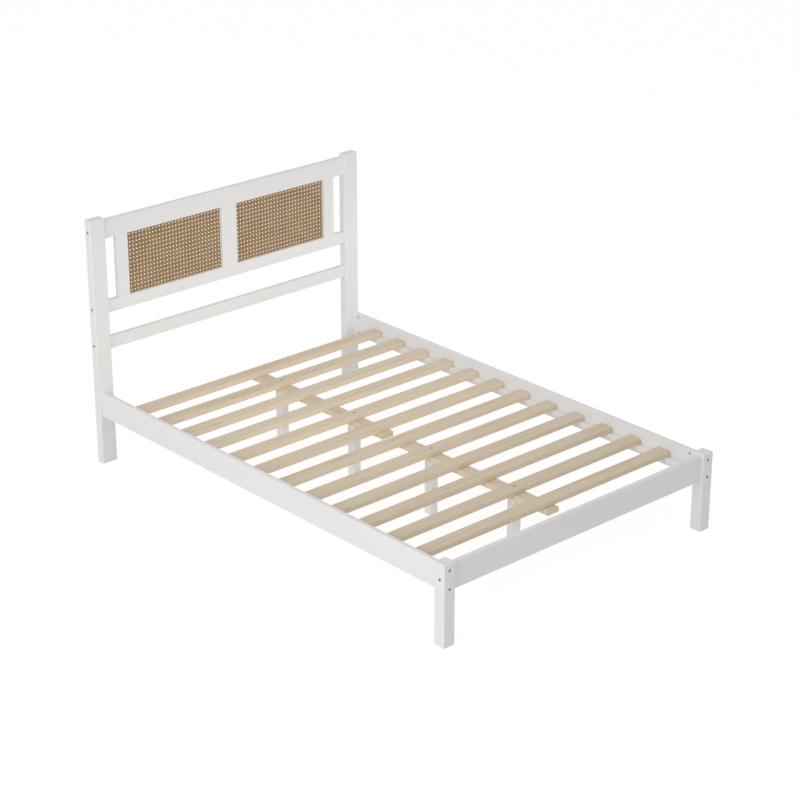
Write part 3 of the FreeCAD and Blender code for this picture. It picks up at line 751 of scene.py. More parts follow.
@dataclass(frozen=True)
class Finish:
    """What every finish has: its names, its gloss, and the depth and strength of its relief."""

    name: str
    slot: str
    metallic: float = 0.0
    gloss: float = 0.5
    depth: float = 0.0001
    strength: float = 0.4

    def build(self, effects: Effects) -> Coat:
        """Make the material around what the finish looks like.

        Args:
            effects: The shared shader groups.

        Returns:
            The material with its slot.
        """
        material = bpy.data.materials.new(self.name)
        material.use_nodes = True
        layout = Nodes(material.node_tree)
        shader = layout.add("ShaderNodeBsdfPrincipled")
        layout.fill(layout.add("ShaderNodeOutputMaterial"), Surface=shader.outputs[0])
        colour, roughness, height = self.look(layout, effects)
        layout.fill(
            shader,
            Base_Color=colour,
            Metallic=self.metallic,
            Roughness=roughness,
            Specular_IOR_Level=self.gloss,
            Normal=layout.relief(height, self.depth, self.strength),
        )
        return Coat(material, self.slot)

    def look(self, layout: Nodes, effects: Effects) -> tuple[Socket, Socket, Socket]:
        """Colour, roughness and height of the surface, which each finish has its own way."""
        raise NotImplementedError


@dataclass(frozen=True)
class WhitePaint(Finish):
    """Satin white paint over pine: the grain shows through faintly, and the eased edges are paler,
    partly from worn paint and partly as a painted highlight.
    """

    along: Axis = Axis.X
    paint: Colour = srgb(238, 237, 237)
    shade: Colour = srgb(231, 230, 229)
    # paler paint on the eased edges: partly worn paint, partly a painted highlight
    rubbed: Colour = srgb(246, 245, 243)
    tone_share: float = 0.55
    ring_share: float = 0.16
    rub_share: float = 0.6
    roughness: float = 0.42
    marks_roughness: float = 0.08
    rub_roughness: float = -0.07
    ring_height: float = 0.3
    fibre_height: float = 0.6
    gloss: float = 0.4
    strength: float = 0.25

    def look(self, layout: Nodes, effects: Effects) -> tuple[Socket, Socket, Socket]:
        """Paint in two tones, paler at the eased edges, partly worn paint and partly a painted
        highlight.

        Args:
            layout: The material's nodes.
            effects: The shared shader groups.

        Returns:
            Colour, roughness and height.
        """
        vector = layout.board_place(GRAIN_TURNS[self.along])
        rings = layout.group(effects.grain, Vector=vector, Ring_Scale=50.0, Wander=7.0)
        fibres = layout.group(effects.fibre, Vector=vector, Scale=420.0, Stretch=0.05)
        cloud = layout.group(effects.cloud, Vector=vector, Size=2.2)
        eased = layout.attribute("eased")
        wear = layout.group(effects.wear, Vector=vector, Edge=eased, Scale=45.0)
        tone = layout.math("MULTIPLY", cloud["Tone"], self.tone_share)
        streak = layout.math("MULTIPLY", rings["Late Wood"], self.ring_share)
        base = layout.mix(layout.math("ADD", tone, streak, clamp=True), self.paint, self.shade)
        # the eased edges pale toward the paler paint: partly worn paint, partly a painted
        # highlight
        rub_highlight = layout.math("MULTIPLY", wear["Rub"], self.rub_share)
        handled = layout.plus(cloud["Marks"], self.marks_roughness, self.roughness)
        roughness = layout.plus(wear["Rub"], self.rub_roughness, handled)
        fine = layout.math("MULTIPLY", fibres["Fibre"], self.fibre_height)
        height = layout.plus(rings["Late Wood"], self.ring_height, fine)
        return layout.mix(rub_highlight, base, self.rubbed), roughness, height


@dataclass(frozen=True)
class BarePine(Finish):
    """Sanded bare pine, pale early wood with darker year rings that run along the board."""

    along: Axis = Axis.X
    early: Colour = srgb(231, 217, 195)
    late: Colour = srgb(209, 187, 155)
    warm: Colour = srgb(223, 206, 180)
    board_share: float = 0.5
    tone_share: float = 0.6
    pore_share: float = 0.22
    rub_share: float = 0.2
    stripes: Span = (0.35, 0.7)
    stripe_share: Span = (0.15, 0.8)
    roughness: float = 0.62
    ring_roughness: float = -0.1
    ring_height: float = 0.2
    gloss: float = 0.3
    depth: float = 0.00012
    strength: float = 0.3

    def look(self, layout: Nodes, effects: Effects) -> tuple[Socket, Socket, Socket]:
        """Each board in its own tone between early and warm, with rings and pores in late wood,
        and eased edges paled toward early wood, partly worn and partly a painted highlight.

        Args:
            layout: The material's nodes.
            effects: The shared shader groups.

        Returns:
            Colour, roughness and height.
        """
        vector = layout.board_place(GRAIN_TURNS[self.along])
        rings = layout.group(effects.grain, Vector=vector, Ring_Scale=52.0, Wander=9.0)
        fibres = layout.group(effects.fibre, Vector=vector, Scale=420.0, Stretch=0.025)
        cloud = layout.group(effects.cloud, Vector=vector, Size=3.5)
        eased = layout.attribute("eased")
        wear = layout.group(effects.wear, Vector=vector, Edge=eased, Scale=70.0)
        tone = layout.math("MULTIPLY", cloud["Tone"], self.tone_share)
        drift = layout.plus(layout.attribute("board_tone"), self.board_share, tone)
        stripe = layout.ramp(rings["Stripe"], self.stripes, self.stripe_share)
        line = layout.math("MULTIPLY", rings["Late Wood"], stripe)
        ringed = layout.mix(line, layout.mix(drift, self.early, self.warm), self.late)
        pore = layout.math("MULTIPLY", fibres["Pore"], self.pore_share)
        # the eased edges pale toward early wood: partly worn wood, partly a painted highlight
        rub_highlight = layout.math("MULTIPLY", wear["Rub"], self.rub_share)
        colour = layout.mix(rub_highlight, layout.mix(pore, ringed, self.late), self.early)
        roughness = layout.plus(rings["Late Wood"], self.ring_roughness, self.roughness)
        height = layout.plus(rings["Late Wood"], self.ring_height, fibres["Fibre"])
        return colour, roughness, height


@dataclass(frozen=True)
class CaneSkin(Finish):
    """Glossy outer skin of rattan cane, with fibres along the strand and painted shade darkening
    its rims.
    """

    turn: float = 0.0
    skin: Colour = srgb(149, 116, 73)
    dark: Colour = srgb(121, 91, 54)
    pale: Colour = srgb(169, 138, 93)
    # dark brown of the painted shade at the strands' rims
    crease: Colour = srgb(93, 67, 39)
    streaks: Span = (0.45, 0.75)
    streak_share: Span = (0.0, 0.6)
    marks_share: float = 0.45
    rims: Span = (0.2, 1.0)
    rim_share: Span = (0.0, 0.9)
    roughness: float = 0.36
    fibre_roughness: float = 0.2
    gloss: float = 0.45
    depth: float = 0.00008
    strength: float = 0.5

    def look(self, layout: Nodes, effects: Effects) -> tuple[Socket, Socket, Socket]:
        """Skin in two tones with dark streaks and marks, with painted shade darkest at the
        strand's rims.

        Args:
            layout: The material's nodes.
            effects: The shared shader groups.

        Returns:
            Colour, roughness and height.
        """
        vector = layout.place((0.0, self.turn, 0.0))
        fibres = layout.group(effects.fibre, Vector=vector, Scale=900.0, Stretch=0.06)
        cloud = layout.group(effects.cloud, Vector=vector, Size=22.0)
        ground = layout.mix(layout.ramp(cloud["Tone"], CLOUDY), self.skin, self.pale)
        streak = layout.ramp(fibres["Fibre"], self.streaks, self.streak_share)
        marks = layout.math("MULTIPLY", cloud["Marks"], self.marks_share)
        worn = layout.mix(marks, layout.mix(streak, ground, self.dark), self.dark)
        # painted shade: darker toward the strand's rims
        rim = layout.ramp(layout.attribute("rim"), self.rims, self.rim_share)
        roughness = layout.plus(fibres["Fibre"], self.fibre_roughness, self.roughness)
        return layout.mix(rim, worn, self.crease), roughness, fibres["Fibre"]


@dataclass(frozen=True)
class ZincSteel(Finish):
    """Dull zinc plating with a cloudy tone and fine turning marks."""

    metal: Colour = srgb(170, 168, 164)
    tarnish: Colour = srgb(134, 131, 127)
    roughness: float = 0.38
    marks_roughness: float = 0.12
    metallic: float = 1.0
    depth: float = 0.00003

    def look(self, layout: Nodes, effects: Effects) -> tuple[Socket, Socket, Socket]:
        """Metal with clouds of tarnish.

        Args:
            layout: The material's nodes.
            effects: The shared shader groups.

        Returns:
            Colour, roughness and height.
        """
        vector = layout.place()
        cloud = layout.group(effects.cloud, Vector=vector, Size=90.0)
        fibres = layout.group(effects.fibre, Vector=vector, Scale=2400.0, Stretch=1.0)
        colour = layout.mix(layout.ramp(cloud["Tone"], CLOUDY), self.metal, self.tarnish)
        roughness = layout.plus(cloud["Marks"], self.marks_roughness, self.roughness)
        return colour, roughness, fibres["Fibre"]


@dataclass(frozen=True)
class Beech(Finish):
    """Bare turned beech for dowels and pins, with short dark flecks."""

    wood: Colour = srgb(222, 193, 152)
    fleck: Colour = srgb(176, 134, 92)
    pore_share: float = 0.6
    tone_share: float = 0.3
    roughness: float = 0.5
    fibre_roughness: float = 0.2

    def look(self, layout: Nodes, effects: Effects) -> tuple[Socket, Socket, Socket]:
        """Wood with flecks at its pores.

        Args:
            layout: The material's nodes.
            effects: The shared shader groups.

        Returns:
            Colour, roughness and height.
        """
        vector = layout.place()
        fibres = layout.group(effects.fibre, Vector=vector, Scale=1500.0, Stretch=0.15)
        cloud = layout.group(effects.cloud, Vector=vector, Size=30.0)
        tone = layout.math("MULTIPLY", cloud["Tone"], self.tone_share)
        share = layout.plus(fibres["Pore"], self.pore_share, tone)
        roughness = layout.plus(fibres["Fibre"], self.fibre_roughness, self.roughness)
        return layout.mix(share, self.wood, self.fleck), roughness, fibres["Fibre"]


class Finishes:
    """All finishes of the bed, built once."""

    def __init__(self) -> None:
        """Build the shared effects and every material but the cane's."""
        effects = Effects()
        self.paint = {
            axis: WhitePaint(f"white_paint_{axis.name}", "white_paint", along=axis).build(effects)
            for axis in Axis
        }
        self.pine = {
            axis: BarePine(f"bare_pine_{axis.name}", "natural_pine", along=axis).build(effects)
            for axis in (Axis.X, Axis.Y)
        }
        self.zinc = ZincSteel("zinc_steel", "zinc_steel").build(effects)
        self.beech = Beech("beech", "beech").build(effects)
        self.effects = effects

    def cane(self, name: str, turn: float) -> Coat:
        """Cane skin whose fibres run along strands that are turned by an angle."""
        return CaneSkin(name, "cane", turn=turn).build(self.effects)


# --- Boards ---

BORE_SIDES = 36
ROUND_SEGMENTS = 4
RIM_SEGMENTS = 1
ALONG_EDGE = 0.999  # least share of an edge's length along an axis that it counts as following


@dataclass(frozen=True)
class Bore:
    """A round hole in one face of a board, by its middle on that face."""

    face: Face
    middle: Vector
    radius: float
    depth: float
    rim: float = 0.0003

    def level(self, board: Box) -> float:
        """Level of the board's face along its normal."""
        low, high = board
        return (high if self.face.sign > 0 else low)[self.face.axis.value]

    def cutter(self, board: Box) -> Piece:
        """Model the bar that cuts the bore.

        Args:
            board: Box of the board.

        Returns:
            The bar, half of it outside the board.
        """
        axis = self.face.axis
        middle = self.middle.copy()
        middle[axis.value] = self.level(board)
        return add_bar("bore_cutter", middle, axis.vector, self.radius, 2 * self.depth, BORE_SIDES)

    def has_on_rim(self, edge: bmesh.types.BMEdge, board: Box) -> bool:
        """Find out whether an edge is part of the bore's rim.

        Args:
            edge: An edge of the board.
            board: Box of the board.

        Returns:
            Whether both its ends are on the rim.
        """
        level, along = self.level(board), self.face.axis.value
        offsets = []
        for vertex in edge.verts:
            away = vertex.co - self.middle
            away[along] = 0.0
            offsets.append(abs(away.length - self.radius) + abs(vertex.co[along] - level))
        return max(offsets) < TINY


@dataclass
class Board:
    """A straight wooden member, modelled over its node of the frame."""

    node: str
    coat: Coat
    rounding: float
    rounded: tuple[Axis, ...] = tuple(Axis)
    bores: Sequence[Bore] = ()
    rebates: Sequence[Box] = ()

    made = 0

    def build(self) -> None:
        """Model the board with its holes and rebates, and let it stand for its node."""
        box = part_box(self.node)
        piece = add_block(f"{self.node}_board", *box)
        bevel(piece, self.runs, self.rounding, ROUND_SEGMENTS)
        for rebate in self.rebates:
            carve(piece, add_block("rebate_cutter", *rebate))
        if self.bores:
            self.drill(piece, box)
        smooth(piece)
        Board.made += 1
        mark(piece, Board.made)
        piece.data.materials.append(self.coat.material)
        stand_for(piece, self.node, self.coat.slot)

    def drill(self, piece: Piece, box: Box) -> None:
        """Drill the bores, and ease their rims.

        Args:
            piece: The board.
            box: Its box.
        """
        carve(piece, join([bore.cutter(box) for bore in self.bores], "bore_cutter"))

        def on_rim(edge: bmesh.types.BMEdge) -> bool:
            """Whether an edge is part of a bore's rim."""
            return any(bore.has_on_rim(edge, box) for bore in self.bores)

        bevel(piece, on_rim, self.bores[0].rim, RIM_SEGMENTS)

    def runs(self, edge: bmesh.types.BMEdge) -> bool:
        """Whether an edge runs along an axis whose edges are rounded."""
        run = (edge.verts[1].co - edge.verts[0].co).normalized()
        return any(abs(run.dot(axis.vector)) > ALONG_EDGE for axis in self.rounded)


@dataclass(frozen=True)
class Hardware:
    """Sizes of the seats and holes that the fasteners sit in."""

    seat_radius: float = 0.0064
    seat_depth: float = 0.004
    nut_radius: float = 0.0052
    nut_depth: float = 0.017
    nut_distance: float = 0.036
    bolt_spacing: float = 0.075
    screw_radius: float = 0.0041
    screw_depth: float = 0.002

    def seat(self, face: Face, middle: Vector) -> Bore:
        """Seat of a bolt head."""
        return Bore(face, middle, self.seat_radius, self.seat_depth)

    def nut_hole(self, face: Face, middle: Vector) -> Bore:
        """Hole of a barrel nut."""
        return Bore(face, middle, self.nut_radius, self.nut_depth)

    def screw_hole(self, face: Face, middle: Vector) -> Bore:
        """Countersink of a wood screw."""
        return Bore(face, middle, self.screw_radius, self.screw_depth)

    def end_nuts(self, node: str) -> list[Bore]:
        """Place a barrel nut near each end of a cross rail, in its back.

        Args:
            node: The rail's node.

        Returns:
            The two holes.
        """
        low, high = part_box(node)
        places = (low.x + self.nut_distance, high.x - self.nut_distance)
        height = middle_of(node).z
        return [self.nut_hole(Face.BACK, Vector((across, 0, height))) for across in places]


HEADBOARD_RAILS = ("headboard_lower_rail", "headboard_middle_rail", "headboard_top_rail")


@dataclass
class Assembly:
    """What every group of boards has: the finishes, and the sizes for its hardware."""

    finishes: Finishes
    hardware: Hardware = Hardware()
    rounding: float = 0.001

    def painted(self, node: str, axis: Axis, **parts: object) -> None:
        """Build a white board along an axis, with only its long edges rounded if not told more."""
        settings = {"rounding": self.rounding, "rounded": (axis,), **parts}
        Board(node, self.finishes.paint[axis], **settings).build()


@dataclass
class Posts(Assembly):
    """The two foot legs and the two head posts."""

    rounding: float = 0.0025

    def build(self) -> None:
        """Build all four."""
        foot_rail = middle_of("foot_rail")
        half = self.hardware.bolt_spacing / 2
        seat = self.hardware.seat
        for side in Side:
            rail = middle_of(f"side_rail_{side.word}")
            pair = [Vector((rail.x, 0, rail.z + up)) for up in (half, -half)]
            seats = [seat(Face.FRONT, place) for place in pair]
            seats.append(seat(side.outer, Vector((0, foot_rail.y, foot_rail.z))))
            self.painted(f"foot_leg_{side.word}", Axis.Z, rounded=tuple(Axis), bores=seats)
            seats = [seat(Face.BACK, place) for place in pair]
            seats += [seat(side.outer, middle_of(node)) for node in HEADBOARD_RAILS]
            self.painted(f"head_post_{side.word}", Axis.Z, rounded=tuple(Axis), bores=seats)


@dataclass
class Rails(Assembly):
    """The side rails and the foot rail, with the ledgers that carry the slats."""

    rounding: float = 0.0025
    ledger_rounding: float = 0.001
    screw_offset: float = 0.02
    screwed: tuple[int, ...] = (1, 3, 5, 7, 9, 11)

    def build(self) -> None:
        """Build the rails and the ledgers."""
        half = self.hardware.bolt_spacing / 2
        distance = self.hardware.nut_distance
        for side in Side:
            node = f"side_rail_{side.word}"
            low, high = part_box(node)
            height = middle_of(node).z
            nuts = [
                self.hardware.nut_hole(side.inner, Vector((0, along, height + up)))
                for along in (low.y + distance, high.y - distance)
                for up in (half, -half)
            ]
            self.painted(node, Axis.Y, bores=nuts)
            self.ledger(side)
        self.painted("foot_rail", Axis.X, bores=self.hardware.end_nuts("foot_rail"))

    def ledger(self, side: Side) -> None:
        """Build the ledger of one side, with a countersink for each screw beside its slat.

        Args:
            side: Side of the bed.
        """
        node = f"ledger_{side.word}"
        height = middle_of(node).z
        screws = []
        for number in self.screwed:
            slat = middle_of(f"slat_{number:02d}")
            place = Vector((0, slat.y + self.screw_offset, height))
            screws.append(self.hardware.screw_hole(side.inner, place))
        self.painted(node, Axis.Y, rounding=self.ledger_rounding, bores=screws)


@dataclass
class SlatBase(Assembly):
    """The slats, the two beams under them and the four centre legs."""

    slat_count: int = 12
    bolted: tuple[int, ...] = (2, 5, 8, 11)
    slat_rounding: float = 0.003

    def build(self) -> None:
        """Build the whole slat base."""
        pine = self.finishes.pine
        for number in range(1, self.slat_count + 1):
            node = f"slat_{number:02d}"
            seat = self.hardware.seat(Face.TOP, Vector((0, middle_of(node).y, 0)))
            seats = [seat] if number in self.bolted else []
            Board(node, pine[Axis.X], self.slat_rounding, (Axis.X,), seats).build()
        for node in ("centre_beam_head", "centre_beam_foot"):
            Board(node, pine[Axis.Y], self.slat_rounding, (Axis.Y,)).build()
        for number in range(1, len(self.bolted) + 1):
            self.painted(f"centre_leg_{number}", Axis.Z)


@dataclass
class Headboard(Assembly):
    """Rails and stiles of the headboard, with a rebate behind each opening for the cane."""

    cane_gap: float = 0.0005
    past_back: float = 0.01

    def build(self) -> None:
        """Build the rails, the stiles and the beads."""
        rebates = [self.rebate(side) for side in Side]
        for node in HEADBOARD_RAILS:
            cut = [] if node == "headboard_lower_rail" else rebates
            self.painted(node, Axis.X, bores=self.hardware.end_nuts(node), rebates=cut)
        stiles = {"left": rebates[:1], "centre": rebates, "right": rebates[1:]}
        for word, cut in stiles.items():
            self.painted(f"headboard_stile_{word}", Axis.Z, rebates=cut)
        beads = {"bottom": Axis.X, "top": Axis.X, "inner": Axis.Z, "outer": Axis.Z}
        for side in Side:
            for word, axis in beads.items():
                self.painted(f"bead_{side.word}_{word}", axis)

    def rebate(self, side: Side) -> Box:
        """Find the space behind one opening, for the cane and its beads.

        Args:
            side: Side of the opening.

        Returns:
            The space, open at the back of the headboard.
        """
        low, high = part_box(f"cane_panel_{side.word}")
        gap = Vector((self.cane_gap, 0, self.cane_gap))
        return low - gap, high + gap + Vector((0, self.past_back, 0))


# --- Cane ---

STRAND_SIDES = 6
STRAND_BLANK = 0.5  # radius of a strand before it is flattened to its width and thickness
SPARE_CROSSINGS = 2  # rows and columns beyond the sheet's far edges, which are trimmed off
STRAND_SHADING = math.radians(75)


@dataclass
class CanePanel:
    """A sheet of woven cane: upright and level pairs of strands, and diagonals both ways."""

    side: Side
    finishes: Finishes
    hole_across: float
    hole_up: float
    pitch_across: float = 0.01709
    pitch_up: float = 0.01758
    strand_width: float = 0.0055
    strand_thickness: float = 0.0006
    pair_half: float = 0.0033
    pair_wave: float = 0.0002
    diagonal_wave: float = 0.0003

    def build(self) -> None:
        """Weave the sheet, trim it and let it stand for its node."""
        node = f"cane_panel_{self.side.word}"
        low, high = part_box(node)
        first = self.first_crossing(low)
        columns = math.ceil((high.x - first.x) / self.pitch_across) + SPARE_CROSSINGS
        rows = math.ceil((high.z - first.z) / self.pitch_up) + SPARE_CROSSINGS
        first.y = (low.y + high.y) / 2
        families = [
            self.pairs("upright", upright=True),
            self.pairs("level", upright=False),
            self.diagonal("rising", 1),
            self.diagonal("falling", -1),
        ]
        for strands in families:
            strands.location = first
            settle(strands)
            self.weave(strands, columns, rows)
            self.trim(strands, low, high)
        piece = join(families, f"{node}_weave")
        pick(piece)
        bpy.ops.object.shade_smooth_by_angle(angle=STRAND_SHADING)
        stand_for(piece, node, "cane")

    def first_crossing(self, low: Vector) -> Vector:
        """Find the lowest crossing of pairs outside the sheet, half a pitch from a hole's middle.

        Args:
            low: Lowest corner of the sheet.

        Returns:
            Place of the crossing.
        """
        across = self.hole_across - self.pitch_across / 2
        up = self.hole_up - self.pitch_up / 2
        while across > low.x:
            across -= self.pitch_across
        while up > low.z:
            up -= self.pitch_up
        return Vector((across, low.y, up))

    def strand(self, name: str, length: float, wave: dict[float, float]) -> Piece:
        """Model one period of a strand along Z, bent at its stations.

        Args:
            name: Name of the object.
            length: Length of the period.
            wave: Move along Y for each station along Z, the two ends among them.

        Returns:
            The strand, flat and six-sided, open at both ends.
        """
        strand = add_bar(name, Vector(), UP, STRAND_BLANK, length, STRAND_SIDES)
        low, high = corners([vertex.co for vertex in strand.data.vertices])
        wide, deep = high.x - low.x, high.y - low.y
        edit(strand)
        open_ends(strand)
        if deep > wide:
            bpy.ops.transform.rotate(
                value=math.pi / 2, orient_axis="Z", center_override=(0, 0, 0)
            )
            wide, deep = deep, wide
        size = (self.strand_width / wide, self.strand_thickness / deep, 1.0)
        bpy.ops.transform.resize(value=size, center_override=(0, 0, 0))
        for station in wave:
            if abs(abs(station) - length / 2) > TINY:
                take_all()
                bpy.ops.mesh.bisect(plane_co=(0, 0, station), plane_no=UP)
        for station, move in wave.items():
            choose_level(strand, station)
            bpy.ops.transform.translate(value=(0, move, 0))
        leave()
        # mark the strand's rims, where the cane's finish paints shade
        edge = self.strand_width / 2 - TINY
        rims = [float(abs(vertex.co.x) > edge) for vertex in strand.data.vertices]
        store(strand, "rim", "FLOAT", "POINT", rims)
        return strand

    def lean(self, strand: Piece, angle: float, offset: Place) -> None:
        """Turn a strand in the plane of the sheet and move it.

        Args:
            strand: The strand, upright at zero.
            angle: Turn about Y.
            offset: Way that it is moved after that.
        """
        strand.rotation_euler = (0, angle, 0)
        settle(strand)
        strand.location = offset
        settle(strand)

    def dress(self, strand: Piece, name: str, turn: float) -> None:
        """Give strands the cane's skin, with its fibres along them."""
        coat = self.finishes.cane(f"cane_{self.side.word}_{name}", turn)
        strand.data.materials.append(coat.material)

    def pairs(self, name: str, upright: bool) -> Piece:
        """Model the pair of strands at one crossing, woven over and under the other pair.

        Args:
            name: Name of the pair.
            upright: Whether it is upright or level.

        Returns:
            Both strands as one object.
        """
        length = self.pitch_up if upright else self.pitch_across
        strands = []
        for sign in (-1, 1):
            bend = self.pair_wave * (sign if upright else -sign)
            half = self.pair_half
            wave = {-length / 2: 0.0, -half: bend, half: -bend, length / 2: 0.0}
            strand = self.strand(name, length, wave)
            offset = (sign * half, 0, 0) if upright else (0, 0, sign * half)
            self.lean(strand, 0.0 if upright else math.pi / 2, offset)
            strands.append(strand)
        pair = join(strands, name)
        self.dress(pair, name, math.pi / 2 if upright else 0.0)
        return pair

    def diagonal(self, name: str, sign: int) -> Piece:
        """Model one period of a diagonal, in front of one kind of pair and behind the other.

        Args:
            name: Name of the strand.
            sign: 1 if it rises to the right, -1 if it falls.

        Returns:
            The strand.
        """
        length = math.hypot(self.pitch_across, self.pitch_up)
        bend = self.diagonal_wave * sign
        quarter = length / 4
        wave = {-2 * quarter: bend, -quarter: 0.0, 0.0: -bend, quarter: 0.0, 2 * quarter: bend}
        strand = self.strand(name, length, wave)
        angle = math.atan2(self.pitch_across, self.pitch_up) * sign
        self.lean(strand, angle, (0, 0, self.pitch_up / 2))
        self.dress(strand, name, math.pi / 2 - angle)
        return strand

    def weave(self, strands: Piece, columns: int, rows: int) -> None:
        """Repeat the strands of one crossing over the sheet, end to end, and close their ends.

        Args:
            strands: Strands that run alike, at the first crossing.
            columns: Number of crossings across.
            rows: Number of crossings up.
        """
        repeat(strands, columns, (self.pitch_across, 0, 0))
        repeat(strands, rows, (0, 0, self.pitch_up))
        edit(strands)
        take_all()
        bpy.ops.mesh.remove_doubles(threshold=TINY)
        take_all()
        bpy.ops.mesh.fill_holes(sides=STRAND_SIDES)
        leave()

    @staticmethod
    def trim(strands: Piece, low: Vector, high: Vector) -> None:
        """Cut strands that run alike to the sheet's box, and close their cut ends.

        Args:
            strands: The strands.
            low: Lowest corner of the box.
            high: Highest corner of the box.
        """
        edit(strands)
        for way in (ACROSS, UP):
            for corner, outward in ((low, -way), (high, way)):
                take_all()
                bpy.ops.mesh.bisect(
                    plane_co=corner, plane_no=outward, use_fill=True, clear_outer=True
                )
        turn_outwards()
        leave()


# --- Fasteners ---

EVEN_WIDTH = 0.0005  # two ends of a fastener up to this far apart count as equally wide
CONE_SIDES = 32
THREAD_SIDES = 20
LENGTH_DIGITS = 4  # fasteners whose lengths agree to these digits share one model


@dataclass(frozen=True)
class Spot:
    """Place of one fastener: its outer end, the way it points from there, and its length."""

    start: Vector
    inwards: Vector
    length: float

    @classmethod
    def of(cls, points: Sequence[Vector]) -> "Spot":
        """Read the place of a fastener from its vertices.

        It lies along its longest side. The wider end is the outer one. Nuts are as wide at both
        ends, and have their outer end towards the middle of the bed or towards its head.

        Args:
            points: Vertices of the fastener.

        Returns:
            Its place.
        """
        low, high = corners(points)
        middle = (low + high) / 2
        size = high - low
        along = max(range(3), key=lambda i: size[i])

        def width(level: float) -> float:
            """Measure the reach from the axis at one end.

            Args:
                level: Level of that end.

            Returns:
                The reach.
            """
            ends = [point - middle for point in points if abs(point[along] - level) < TINY]
            for end in ends:
                end[along] = 0.0
            return max(end.length for end in ends)

        wider = width(low[along]) - width(high[along])
        if abs(wider) > EVEN_WIDTH:
            from_low = wider > 0
        else:
            from_low = along == Axis.X.value and middle.x > 0
        start = middle.copy()
        start[along] = (low if from_low else high)[along]
        inwards = Vector()
        inwards[along] = 1.0 if from_low else -1.0
        return cls(start, inwards, size[along])

    def put(self, piece: Piece) -> None:
        """Move a piece that points along +Z from zero to this place.

        Args:
            piece: The piece.
        """
        turn = self.inwards.to_track_quat("Z", "Y").to_matrix().to_4x4()
        piece.matrix_world = Matrix.Translation(self.start) @ turn
        settle(piece)


def spots_of(node: str) -> list[Spot]:
    """Find the separate fasteners in one node of the frame.

    Args:
        node: The node.

    Returns:
        Their places.
    """
    pick(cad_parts[node])
    bpy.ops.object.duplicate()
    edit(bpy.context.object)
    take_all()
    bpy.ops.mesh.remove_doubles(threshold=TINY)
    bpy.ops.mesh.separate(type="LOOSE")
    leave()
    spots = []
    for part in sorted(bpy.context.selected_objects, key=lambda part: part.name):
        spots.append(Spot.of([part.matrix_world @ vertex.co for vertex in part.data.vertices]))
    bpy.ops.object.delete()
    return spots


